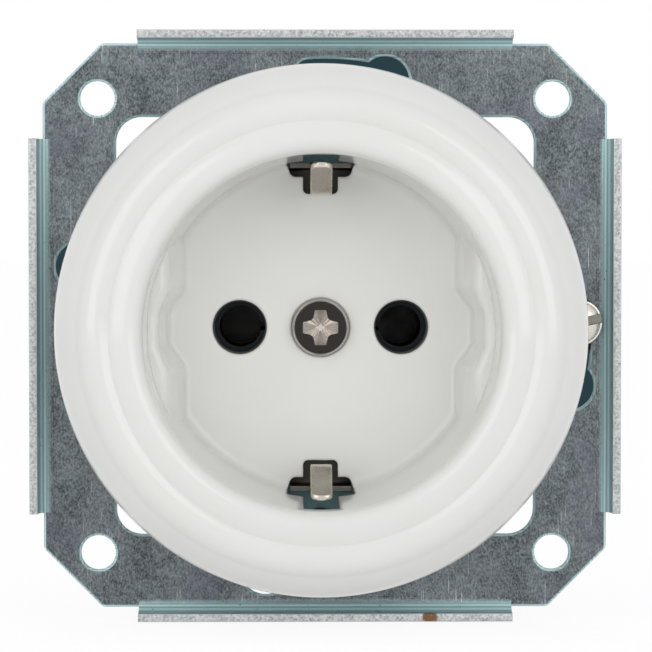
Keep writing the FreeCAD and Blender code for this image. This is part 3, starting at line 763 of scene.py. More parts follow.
@dataclass(frozen=True)
class DarkBandMetal(Metal):
    """Metal that is dark and dull between two heights above the wall: painted shade on the earth bridge and
    the contacts, a painted dark reflection on the cover screw's flat top.
    """

    dark_band: Colour = (0.02, 0.022, 0.024)
    dark_band_heights: Point = (0.0, 0.0)
    dark_band_roughness: float = 0.5
    fade: float = 0.05

    def dress(self, shader: Shader) -> None:
        """Lay the metal, and the dark band over it.

        Args:
            shader: The material's nodes.
        """
        super().dress(shader)
        low, high = self.dark_band_heights
        height = shader.combine("MULTIPLY", shader.axis("Y"), -1 / MM)
        above = shader.band(height, low - self.fade, low)
        below = shader.band(height, high + self.fade, high)
        in_dark_band = shader.combine("MULTIPLY", above, below)
        dull = shader.combine("MULTIPLY", in_dark_band, self.dark_band_roughness)
        shader.paint(
            Base_Color=shader.blend(in_dark_band, shader.laid("Base Color"), self.dark_band),
            Roughness=shader.combine("MAXIMUM", shader.laid("Roughness"), dull),
        )


@dataclass(frozen=True)
class PlatedSheet(Metal):
    """Zinc-plated steel sheet: speckled, scratched, with a bluish tint and painted light on its bends and
    under the cover, sheared edges and a speck of rust.
    """

    roughness_range: Point = (0.75, 1.3)
    cloud_size: float = 5.0
    cloud_detail: float = 4.0
    cloud_stretch: Place = (1.0, 1.0, 1.8)
    grains: Pattern = Pattern(0.21, 4.0, (1.0, 1.0, 1.5), start=0.38, end=0.7, high=0.6)
    crystal_size: float = 0.6
    crystal_share: float = 0.2
    mottle_band: Point = (0.35, 0.65)
    mottle_share: float = 0.25
    bruises: Pattern = Pattern(9.0, 2.0, start=0.52, end=0.74, high=0.5)
    bruise_tint: Colour = (0.13, 0.135, 0.175)
    scratches: Pattern = Pattern(0.17, 2.0, (1.0, 1.0, 30.0), start=0.64, end=0.72)
    scratch_clouds: Point = (0.48, 0.62)
    # The bends' teal is partly the plating's bluish tint and partly painted light, lifting bends that lie in
    # the shade of the cover and the flanges.
    bend_lit_tint: Colour = (0.68, 0.93, 0.95)
    bend_shade: Colour = (0.32, 0.52, 0.54)
    bend_metal: float = 0.15
    bend_facing: Point = (0.995, 0.9)
    side_facing: Point = (0.0, 0.1)
    streak: float = 0.2
    streak_detail: float = 2.0
    streak_band: Point = (0.35, 0.65)
    # Within this reach of the axis, under the cover, the plate is a lighter teal: partly the plating's tint,
    # partly painted light where the cover shades it.
    lit_film_tint: Colour = (0.3, 0.52, 0.57)
    lit_film_reach: float = 23.0
    lit_film_fade: float = 0.5
    sheared: Colour = (0.58, 0.59, 0.59)
    sheared_height: float = 3.25
    sheared_fade: float = 0.2
    grit: Pattern = Pattern(0.3, 4.0, end=0.6, low=0.25)
    soot: Colour = (0.035, 0.04, 0.04)
    flecks: Pattern = Pattern(0.45, start=0.68, end=0.74, high=0.75)
    rust: Colour = (0.23, 0.11, 0.045)
    rust_place: Place = (12.4, -34.5, 3.4)
    rust_reach: float = 1.1
    rust_rags: Pattern = Pattern(0.35, 5.0, end=0.55, low=0.4, high=2.2)
    rust_band: Point = (0.2, 0.6)

    def dress(self, shader: Shader) -> None:
        """Lay speckle, scratches, a bluish tint with painted light on the bends and under the cover, bright
        sheared edges, dark flecks and rust.

        Args:
            shader: The material's nodes.
        """
        clouds = shader.noise(self.cloud_size, self.cloud_detail, self.cloud_stretch)
        level = self.speckle(shader, clouds)
        colour = self.worn(shader, shader.blend(level, self.dark, self.pale), clouds)
        bent = self.bent(shader)
        # Lighter teal under the cover: partly tint, partly painted light
        lit_film_edge = (self.lit_film_reach * MM, (self.lit_film_reach - self.lit_film_fade) * MM)
        lit_film = shader.band(shader.from_axis(AXIS_X), *lit_film_edge)
        # Painted light along the bends, in streaks between two tints
        streaky = shader.blend(self.streaks(shader), self.bend_shade, self.bend_lit_tint)
        tinted_and_lit = shader.blend(lit_film, shader.blend(bent, colour, streaky), self.lit_film_tint)
        colour = self.torn(shader, tinted_and_lit)
        rusty = self.rusted(shader)
        painted = shader.combine("MAXIMUM", shader.combine("MAXIMUM", bent, lit_film), rusty)
        shader.paint(
            Base_Color=shader.blend(rusty, colour, self.rust),
            Metallic=shader.band(painted, 0.0, 1.0, 1.0, self.bend_metal),
            Roughness=self.uneven(shader, clouds),
            Normal=shader.relief(level, self.grain_depth, shader.soft_edges(self.edge)),
        )

    def bent(self, shader: Shader) -> Socket:
        """Share of the tint and painted light on the bends, which face neither the front nor a side.

        Args:
            shader: The material's nodes.

        Returns:
            An output from 0 to 1.
        """
        facing = shader.facing()
        off_front = shader.band(facing, *self.bend_facing)
        return shader.combine("MULTIPLY", off_front, shader.band(facing, *self.side_facing))

    def streaks(self, shader: Shader) -> Socket:
        """Lines of lighter and darker painted light along the bends.

        Args:
            shader: The material's nodes.

        Returns:
            An output from 0 to 1.
        """
        sideways = shader.combine("ABSOLUTE", shader.axis("X"), 0.0)
        upward = shader.combine("ABSOLUTE", shader.axis("Z"), 0.0)
        outward = shader.combine("MAXIMUM", sideways, upward)
        across = shader.combine("DIVIDE", outward, self.streak * MM)
        inputs = {"W": across, "Scale": 1.0, "Detail": self.streak_detail}
        lines = shader.add("ShaderNodeTexNoise", inputs, noise_dimensions="1D").outputs["Fac"]
        return shader.band(lines, *self.streak_band)

    def speckle(self, shader: Shader, clouds: Socket) -> Socket:
        """Brightness of the zinc: fine grains, crystals and clouds.

        Args:
            shader: The material's nodes.
            clouds: The sheet's clouds.

        Returns:
            A level that is about 0 to 1.
        """
        crystals = shader.band(shader.cells(self.crystal_size), 0.0, 1.0, 0.0, self.crystal_share)
        mottle = shader.band(clouds, *self.mottle_band, 0.0, self.mottle_share)
        fine = shader.combine("ADD", shader.pattern(self.grains), crystals)
        return shader.combine("ADD", fine, mottle)

    def worn(self, shader: Shader, colour: Socket, clouds: Socket) -> Socket:
        """Zinc with bluish bruises and bright scratches.

        Args:
            shader: The material's nodes.
            colour: The clean zinc.
            clouds: The sheet's clouds, which gather the scratches.

        Returns:
            The worn colour.
        """
        bruised = shader.blend(shader.pattern(self.bruises), colour, self.bruise_tint)
        gathered = shader.band(clouds, *self.scratch_clouds)
        scratched = shader.combine("MULTIPLY", shader.pattern(self.scratches), gathered)
        return shader.blend(scratched, bruised, self.sheared)

    def torn(self, shader: Shader, colour: Socket) -> Socket:
        """Bright sheared front edges of the flanges, and dark flecks.

        Args:
            shader: The material's nodes.
            colour: The zinc with its tint and painted light.

        Returns:
            The colour with edges and flecks.
        """
        low = self.sheared_height - self.sheared_fade
        front = shader.band(shader.axis("Y"), -low * MM, -self.sheared_height * MM)
        gritty = shader.combine("MULTIPLY", front, shader.pattern(self.grit))
        bright = shader.blend(gritty, colour, self.sheared)
        return shader.blend(shader.pattern(self.flecks), bright, self.soot)

    def rusted(self, shader: Shader) -> Socket:
        """Share of rust in the one ragged speck on the lower flange.

        Args:
            shader: The material's nodes.

        Returns:
            An output from 0 to 1.
        """
        patch = shader.near(self.rust_place, self.rust_reach)
        ragged = shader.combine("MULTIPLY", patch, shader.pattern(self.rust_rags))
        return shader.band(ragged, *self.rust_band)


DULL_PLATING = {"pale": (0.45, 0.46, 0.46), "dark": (0.2, 0.21, 0.215), "roughness": 0.36}
YELLOW_BRASS = {"pale": (0.72, 0.52, 0.22), "dark": (0.4, 0.27, 0.1), "roughness": 0.3}


class Look(Enum):
    """Finishes of the object's pieces."""

    WHITE = Moulding(
        "white_gloss",
        Slot.WHITE_GLOSS,
        pale=(0.89, 0.89, 0.87),
        dull=(0.865, 0.865, 0.84),
        gloss=0.08,
        edge=0.45,
    )
    ZINC = PlatedSheet(
        "zinc_plate", Slot.ZINC_PLATE, pale=(0.26, 0.29, 0.3), dark=(0.032, 0.04, 0.045), roughness=0.34
    )
    THERMOSET = Moulding(
        "dark_thermoset",
        Slot.DARK_THERMOSET,
        pale=(0.035, 0.05, 0.055),
        dull=(0.018, 0.026, 0.03),
        gloss=0.42,
        skin_size=0.4,
        skin_depth=0.006,
    )
    # The earth bridge's dark band below the recess floor is painted shade from the cover.
    BRIDGE = DarkBandMetal(
        "bridge_nickel",
        Slot.NICKEL,
        pale=(0.74, 0.69, 0.62),
        dark=(0.45, 0.42, 0.37),
        roughness=0.3,
        dark_band=(0.06, 0.056, 0.05),
        dark_band_heights=(-20.0, 5.2),
        fade=0.9,
    )
    # The cover screw's dark, duller flat top is a painted dark reflection.
    COVER_SCREW = DarkBandMetal(
        "screw_nickel",
        Slot.NICKEL,
        pale=(0.78, 0.73, 0.69),
        dark=(0.46, 0.43, 0.4),
        roughness=0.2,
        dark_band=(0.035, 0.032, 0.03),
        dark_band_heights=(6.38, 8.0),
        dark_band_roughness=0.32,
        fade=0.03,
    )
    # The box screw is darker and duller from its shank up to 2.1 mm above the wall.
    BOX_SCREW = DarkBandMetal(
        "bright_nickel",
        Slot.NICKEL,
        pale=(0.85, 0.83, 0.78),
        dark=(0.5, 0.48, 0.44),
        roughness=0.26,
        dark_band=(0.24, 0.225, 0.2),
        dark_band_heights=(-30.0, 2.1),
        dark_band_roughness=0.4,
    )
    RIVET = Metal("rivet_steel", Slot.RIVET_STEEL, **DULL_PLATING)
    SMALL_SCREW = Metal("dull_nickel", Slot.NICKEL, **DULL_PLATING)
    CAGE = Metal("plated_brass", Slot.BRASS, **DULL_PLATING)
    PILLAR = Metal("brass", Slot.BRASS, **YELLOW_BRASS)
    # The contacts' near-black band deep in the pin holes is painted shade.
    CONTACT = DarkBandMetal("tarnished_brass", Slot.BRASS, **YELLOW_BRASS, dark_band_heights=(-8.0, 5.0))
    SPRING = Metal(
        "spring_steel", Slot.SPRING_STEEL, pale=(0.34, 0.34, 0.35), dark=(0.13, 0.135, 0.145), roughness=0.3
    )
    FIBRE = Moulding(
        "fibre",
        Slot.FIBRE,
        pale=(0.11, 0.045, 0.03),
        dull=(0.06, 0.028, 0.02),
        gloss=0.6,
        cloud_size=1.5,
        skin_size=0.25,
        skin_depth=0.01,
    )


Paints = dict[Look, bpy.types.Material]


@dataclass
class Studio:
    """Camera, soft lamps, pale floor and white surroundings."""

    aim: Place = (0.1, 0.0, 1.0)
    distance: float = 354.0
    azimuth: float = -0.66
    elevation: float = 2.05
    lens: float = 164.4
    clip: Point = (10.0, 50000.0)
    floor_drop: float = 35.2
    floor_size: float = 6000.0
    floor_colour: Colour = (0.9, 0.9, 0.9)
    floor_shade: Colour = (0.86, 0.86, 0.86)
    floor_paper: Pattern = Pattern(40.0, low=0.97)
    floor_roughness: float = 0.8
    floor_glow: float = 0.85
    floor_shine: float = 1.06
    ambient: float = 0.62
    lamp_distance: float = 800.0
    lamp_angle: float = 30.0
    lamp_size: Point = (500.0, 900.0)
    lamp_power: float = 2.0

    def build(self) -> None:
        """Set up the whole studio."""
        bpy.context.scene.view_settings.view_transform = "Standard"
        self.place_camera()
        self.light_world()
        self.lay_floor()
        for side in (-1, 1):
            self.hang_lamp(side)

    def place_camera(self) -> None:
        """Stand the camera where the photograph was taken."""
        camera = bpy.data.cameras.new("camera")
        camera.lens = self.lens
        camera.clip_start, camera.clip_end = (reach * MM for reach in self.clip)
        item = bpy.data.objects.new("camera", camera)
        bpy.context.scene.collection.objects.link(item)
        level = math.radians(self.elevation)
        aside, ahead = polar(math.cos(level), self.azimuth - 90.0)
        towards = Vector((aside, ahead, math.sin(level)))
        item.location = to_frame(*self.aim) + towards * self.distance * MM
        item.rotation_euler = towards.to_track_quat("Z", "Y").to_euler()
        bpy.context.scene.camera = item

    def light_world(self) -> None:
        """White surroundings for what the camera sees and metal mirrors, and a softer fill for the rest."""
        world = bpy.data.worlds.new("studio")
        world.use_nodes = True
        layout = NodeLayout(world.node_tree)
        layout.tree.nodes.clear()
        inputs = {"Value": layout.background_rays(), "To Min": self.ambient}
        strength = layout.add("ShaderNodeMapRange", inputs).outputs["Result"]
        shine = layout.add("ShaderNodeBackground", {"Color": WHITE_LIGHT, "Strength": strength})
        layout.add("ShaderNodeOutputWorld", {"Surface": shine.outputs["Background"]})
        bpy.context.scene.world = world

    def lay_floor(self) -> None:
        """Lay a floor that looks white and still keeps a faint shadow."""
        shape = bmesh.new()
        bmesh.ops.create_grid(shape, x_segments=1, y_segments=1, size=self.floor_size * MM / 2)
        floor = scratch_object("floor", shape)
        floor.location.z = -self.floor_drop * MM
        shader = Shader("floor")
        paper = shader.pattern(self.floor_paper)
        shader.paint(
            Base_Color=shader.blend(paper, self.floor_shade, self.floor_colour),
            Roughness=self.floor_roughness,
        )
        share = shader.combine("MULTIPLY", shader.background_rays(), self.floor_glow)
        shader.mix(share, shader.surface.outputs["BSDF"], shader.glow(WHITE_LIGHT, self.floor_shine))
        floor.data.materials.append(shader.material)

    def hang_lamp(self, side: int) -> None:
        """Hang one large soft lamp in front of the object.

        Args:
            side: -1 for the left and 1 for the right.
        """
        lamp = bpy.data.lights.new("softbox", "AREA")
        lamp.shape = "RECTANGLE"
        lamp.size, lamp.size_y = (length * MM for length in self.lamp_size)
        lamp.energy = self.lamp_power
        item = bpy.data.objects.new("softbox", lamp)
        bpy.context.scene.collection.objects.link(item)
        away = Vector((*polar(1.0, side * self.lamp_angle - 90.0), 0.0))
        item.location = away * self.lamp_distance * MM
        item.rotation_euler = away.to_track_quat("Z", "Y").to_euler()


@dataclass
class FrontCover:
    """White moulding: rolled rim, plug recess with guide ribs, pin holes and earth slots."""

    paint: bpy.types.Material
    wall: float = 2.1
    screw_hole: float = 2.1
    seat_radius: float = 3.48
    seat_depth: float = 0.5
    recess_radius: float = 19.3
    mouth_radius: float = 20.0
    floor_fillet: float = 1.2
    rim_height: float = 24.3
    rim_thickness: float = 2.9
    lip_radius: float = 1.8
    inner_roll: float = 4.1
    crease: Point = (23.75, 23.8)
    outer_roll: float = 2.7
    shoulder: Point = (27.45, 22.85)
    shoulder_round: float = 7.8
    drum: Point = (30.35, 16.8)
    skirt: Point = (30.15, 4.0)
    skirt_edge: float = 0.45
    skirt_bow: float = 40.0
    pin_reach: float = 9.5
    pin_radius: float = 3.19
    pin_edge: float = 0.3
    rib_height: float = 12.0
    rib_face: Point = (15.9, 17.4)
    rib_root: float = 0.5
    rib_crown: float = 0.9
    rib_fillet: float = 0.6
    rib_steps: int = 5
    notch_bottom: Point = (17.84, 18.5)
    notch_widths: Point = (9.2, 3.8)
    notch_rounds: Point = (1.5, 1.0)
    slot_start: float = 15.65
    slot_width: float = 4.1
    slot_top: float = 16.0
    slot_end: float = 23.15
    slot_rounding: float = 0.6
    root_start: float = 17.65
    root_widths: Point = (6.9, 8.0)
    root_top: float = 6.0
    root_rounding: float = 0.8

    def build(self) -> bpy.types.Object:
        """Turn the drum, add the ribs, cut the openings and stand the cover in its place.

        Returns:
            The piece.
        """
        shape = lathe(self.section(), steps=224, closed=True)
        shape = carve(shape, [self.rib(), moved(self.rib(), HALF_TURN)], Carve.ADD)
        cutters = [self.pin_hole(-self.pin_reach), self.pin_hole(self.pin_reach)]
        for cutter in (self.finger_slot, self.root_slot):
            cutters += [cutter(), moved(cutter(), HALF_TURN)]
        shape = moved(carve(shape, cutters, Carve.CUT), MECHANISM_SHIFT)
        return stand_piece("cover_moulding", shape, self.paint, ["front_cover"])

    def section(self) -> list[Point]:
        """Closed section of the moulding, from the screw hole round to its seat.

        Returns:
            Points of (radius, height).
        """
        edge, wall = self.skirt_edge, self.wall
        roof = self.rim_height - self.rim_thickness
        inner_round = self.shoulder_round - wall
        roof_reach = math.sqrt(inner_round**2 - (roof - self.drum[1]) ** 2)
        roof_edge = (self.drum[0] - self.shoulder_round + roof_reach, roof)
        inner_drum = (self.drum[0] - wall, self.drum[1])
        skirt, skirt_end = self.skirt
        skirt_side = (skirt, skirt_end + edge)
        skirt_foot = (skirt - edge, skirt_end)
        crest = (self.mouth_radius + self.lip_radius, self.rim_height)
        mouth = (self.mouth_radius, self.rim_height - self.lip_radius)
        foot = (self.recess_radius, FLOOR + self.floor_fillet)
        floor_edge = (self.recess_radius - self.floor_fillet, FLOOR)
        seat = FLOOR - self.seat_depth
        return [
            (self.screw_hole, BASE_FRONT),
            (self.recess_radius + wall, BASE_FRONT),
            (self.mouth_radius + wall, roof),
            *arc(roof_edge, inner_drum, inner_round, Turn.RIGHT, steps=10),
            inner_drum,
            (skirt - wall, skirt_end + edge),
            *arc((skirt - wall + edge, skirt_end), skirt_foot, self.skirt_bow, Turn.LEFT, steps=2),
            *arc(skirt_foot, skirt_side, edge, Turn.LEFT, steps=4),
            *straight(skirt_side, self.drum, steps=5),
            *arc(self.drum, self.shoulder, self.shoulder_round, Turn.LEFT, steps=20),
            *arc(self.shoulder, self.crease, self.outer_roll, Turn.LEFT, steps=14),
            *arc(self.crease, crest, self.inner_roll, Turn.LEFT, steps=10),
            *arc(crest, mouth, self.lip_radius, Turn.LEFT, steps=14),
            *straight(mouth, foot, steps=10),
            *arc(foot, floor_edge, self.floor_fillet, Turn.RIGHT, steps=8),
            floor_edge,
            (self.seat_radius, FLOOR),
            (self.seat_radius, seat),
            (self.screw_hole, seat),
        ]

    def rib(self) -> Shape:
        """Right-hand guide rib: it leans back, has a notch in its middle and rounded ends.

        Returns:
            A closed shape that reaches into the floor and the wall.
        """
        foot, crown = self.rib_fillet, self.rib_crown
        shoulder = self.rib_height - crown
        quarter = [math.pi / 2 * step / self.rib_steps for step in range(self.rib_steps + 1)]
        levels = [self.rib_outline(-self.rib_root, -foot)]
        for angle in quarter[:-1]:
            levels.append(self.rib_outline(foot * (1 - math.cos(angle)), -foot * (1 - math.sin(angle))))
        for height, _ in straight((foot, 0.0), (shoulder, 0.0), steps=6):
            levels.append(self.rib_outline(height, 0.0))
        for angle in quarter:
            levels.append(self.rib_outline(shoulder + crown * math.sin(angle), crown * (1 - math.cos(angle))))
        return loft(levels)

    def rib_outline(self, height: float, back: float) -> list[Place]:
        """Outline of the rib at one level.

        Args:
            height: Height above the recess floor.
            back: How far the face is set back.

        Returns:
            Points of (x, y, height).
        """
        share = height / self.rib_height
        edge = self.recess_radius + self.wall / 2
        face = self.rib_face[0] + (self.rib_face[1] - self.rib_face[0]) * share + back
        bottom = self.notch_bottom[0] + (self.notch_bottom[1] - self.notch_bottom[0]) * share + back
        reach = math.sqrt(edge**2 - face**2)
        mouth, narrow = (width / 2 for width in self.notch_widths)
        convex, hollow = self.notch_rounds
        half = [(face, reach), (face, mouth), (bottom, narrow)]
        corners = half + [(x, -y) for x, y in reversed(half)]
        outline = round_corners(corners, [0.0, convex, hollow, hollow, convex, 0.0])
        outline += arc((face, -reach), (face, reach), edge, Turn.LEFT, steps=24)[1:]
        return at_height(outline, FLOOR + height)

    def pin_hole(self, x: float) -> Shape:
        """Cutter for a pin hole with a rounded mouth.

        Args:
            x: Place of the hole, from the socket's axis.

        Returns:
            A closed shape.
        """
        wide = self.pin_radius + self.pin_edge
        low, high = BASE_FRONT - CUT_PAST, FLOOR + CUT_PAST
        mouth = (self.pin_radius, FLOOR - self.pin_edge)
        profile = [
            (0.0, low),
            (self.pin_radius, low),
            *arc(mouth, (wide, FLOOR), self.pin_edge, Turn.RIGHT, steps=5),
            (wide, FLOOR),
            (wide, high),
            (0.0, high),
        ]
        return moved(lathe(profile, steps=72), Matrix.Translation((x, 0.0, 0.0)))

    def finger_slot(self) -> Shape:
        """Cutter for the narrow part of the upper earth slot.

        Returns:
            A closed shape.
        """
        half, near, far = self.slot_width / 2, self.slot_start, self.slot_end
        corners = [(-half, near), (half, near), (half, far), (-half, far)]
        outline = round_corners(corners, [self.slot_rounding] * len(corners))
        return upright(outline, BASE_FRONT - CUT_PAST, FLOOR + self.slot_top)

    def root_slot(self) -> Shape:
        """Cutter for the wide part of the upper earth slot, which spreads towards the wall.

        Returns:
            A closed shape.
        """
        near, far = (width / 2 for width in self.root_widths)
        corners = [
            (-near, self.root_start),
            (near, self.root_start),
            (far, self.recess_radius),
            (far, self.slot_end),
            (-far, self.slot_end),
            (-far, self.recess_radius),
        ]
        outline = round_corners(corners, [self.root_rounding] * 2 + [0.0] * 4)
        return upright(outline, BASE_FRONT - CUT_PAST, FLOOR + self.root_top)


def extrude_across(section: Sequence[Point], half_width: float) -> Shape:
    """Push a section of (reach, height) points along the other direction, to both sides of the middle."""
    return loft([[(reach, side, height) for reach, height in section] for side in (-half_width, half_width)])


@dataclass
class SupportPlate:
    """Zinc-plated plate with rounded punched edges and four bent flanges."""

    paint: bpy.types.Material
    half: float = 33.5
    corner_cut: float = 7.0
    corner_round: float = 0.9
    flange_face: float = 35.0
    flange_half: float = 22.2
    flange_height: float = 3.4
    flange_root: float = 32.3
    root_sunk: float = 0.01
    flange_edge: float = 0.12
    bend: float = 1.5
    opening: float = 19.0
    rivet_hole: float = 1.35
    hole_reach: float = 27.0
    hole_radius: float = 2.05
    window_reach: float = 24.8
    window_rounding: float = 3.0
    window_radius: float = 27.5
    fixing_radius: float = 30.0
    slot_width: float = 3.5
    tail_angle: float = 3.6
    bulb_angle: float = -13.7
    bulb_radius: float = 2.9
    bulb_steps: int = 40
    slot_steps: int = 14
    edge: float = 0.3

    def build(self) -> bpy.types.Object:
        """Punch the sheet, bend the flanges on and stand the plate in its place.

        Returns:
            The piece.
        """
        holes = [circle(AXIS_X, 0.0, self.opening, steps=128)]
        holes += [circle(AXIS_X, y, self.rivet_hole, steps=32) for y in (RIVET_REACH, -RIVET_REACH)]
        corner_hole = circle(self.hole_reach, self.hole_reach, self.hole_radius)
        for outline in (corner_hole, self.window(), self.keyhole()):
            holes += quarter_turned(outline)
        sheet = punched_sheet(self.outline(), holes, SHEET, self.edge)
        flanges = [moved(self.flange(), Matrix.Rotation(math.pi / 2 * turn, 4, "Z")) for turn in range(4)]
        shape = joined([sheet, *flanges])
        return stand_piece("plate_sheet", shape, self.paint, ["support_plate"])

    def outline(self) -> list[Point]:
        """Outer outline: a square with chamfered corners, softly rounded.

        Returns:
            Its points.
        """
        cut = self.half - self.corner_cut
        sides = quarter_turned([(self.half, -cut), (self.half, cut)])
        corners = [corner for side in sides for corner in side]
        return round_corners(corners, [self.corner_round] * len(corners), steps=5)

    def window(self) -> list[Point]:
        """Upper right window, with a curved inner side.

        Returns:
            Its points.
        """
        far = self.window_reach
        near = math.sqrt(self.window_radius**2 - far**2)
        corner = far - self.window_rounding
        return [
            *arc((far, corner), (corner, far), self.window_rounding, Turn.LEFT, steps=10),
            *straight((corner, far), (near, far), steps=3),
            *arc((near, far), (far, near), self.window_radius, Turn.RIGHT, steps=24),
            *straight((far, near), (far, corner), steps=3),
        ]

    def keyhole(self) -> list[Point]:
        """Right-hand keyhole slot: a bulb that runs into a curved slot with a round end.

        Returns:
            Its points.
        """
        half, tail, steps = self.slot_width / 2, self.tail_angle, self.slot_steps
        outer, inner = self.fixing_radius + half, self.fixing_radius - half
        lead = math.sqrt(self.bulb_radius**2 - half**2) / self.fixing_radius
        start = self.bulb_angle + math.degrees(lead)
        bulb = Vector(polar(self.fixing_radius, self.bulb_angle))
        first, last = (Vector(polar(radius, start)) - bulb for radius in (inner, outer))
        begin = math.atan2(first.y, first.x)
        sweep = (math.atan2(last.y, last.x) - begin) % math.tau
        angles = [begin + sweep * step / self.bulb_steps for step in range(self.bulb_steps + 1)]
        points = [tuple(bulb + Vector((math.cos(a), math.sin(a))) * self.bulb_radius) for a in angles]
        points += [polar(outer, start + (tail - start) * step / steps) for step in range(1, steps)]
        points += arc(polar(outer, tail), polar(inner, tail), half, Turn.LEFT, steps=16)
        points += [polar(inner, tail + (start - tail) * step / steps) for step in range(steps)]
        return points

    def flange(self) -> Shape:
        """Right-hand flange: the sheet bent forward, with a sheared front edge.

        Returns:
            A closed shape that reaches into the sheet.
        """
        face, top, edge, sunk = self.flange_face, self.flange_height, self.flange_edge, self.root_sunk
        bend = self.bend + SHEET
        root, inner = face - bend, face - SHEET
        section = [
            (self.flange_root, sunk),
            (root, sunk),
            *arc((root, 0.0), (face, bend), bend, Turn.LEFT, steps=10)[1:],
            (face, bend),
            *arc((face, top - edge), (face - edge, top), edge, Turn.LEFT, steps=3),
            *arc((inner + edge, top), (inner, top - edge), edge, Turn.LEFT, steps=3),
            *arc((inner, bend), (root, SHEET), self.bend, Turn.RIGHT, steps=10),
            (root, SHEET - sunk),
            (self.flange_root, SHEET - sunk),
        ]
        return extrude_across(section, self.flange_half)


@dataclass
class PaintedShadeCards:
    """Painted shade: glowing dark cards close behind three of the plate's slots, standing in for the shade
    behind the plate, so that these slots look dark.
    """

    plate: SupportPlate
    # Colour of the painted shade seen through the slots
    colour: Colour = (0.024, 0.05, 0.06)
    margin: float = 0.3
    behind: float = -0.3
    angles: tuple[float, ...] = (0.0, 90.0, 180.0)

    def build(self) -> None:
        """Hang one painted-shade card behind each dark slot, as a part of the studio."""
        wider = replace(
            self.plate,
            slot_width=self.plate.slot_width + 2 * self.margin,
            bulb_radius=self.plate.bulb_radius + self.margin,
        )
        paint = self.paint()
        for angle in self.angles:
            shape = bmesh.new()
            shape.faces.new([shape.verts.new(place) for place in at_height(wider.keyhole(), self.behind)])
            shape.transform(STAND @ Matrix.Rotation(math.radians(angle), 4, "Z"))
            card = scratch_object("dark_card", shape)
            card.data.materials.append(paint)
            card.visible_diffuse = False
            card.visible_glossy = False
            card.visible_transmission = False
            card.visible_shadow = False

    def paint(self) -> bpy.types.Material:
        """Glowing painted shade on the side that faces the camera, and clear on the other.

        Returns:
            The material.
        """
        shader = Shader("dark_card")
        dark = shader.glow((*self.colour, 1.0), 1.0)
        clear = shader.add("ShaderNodeBsdfTransparent", {}).outputs["BSDF"]
        shader.mix(shader.add("ShaderNodeNewGeometry", {}).outputs["Backfacing"], dark, clear)
        return shader.material


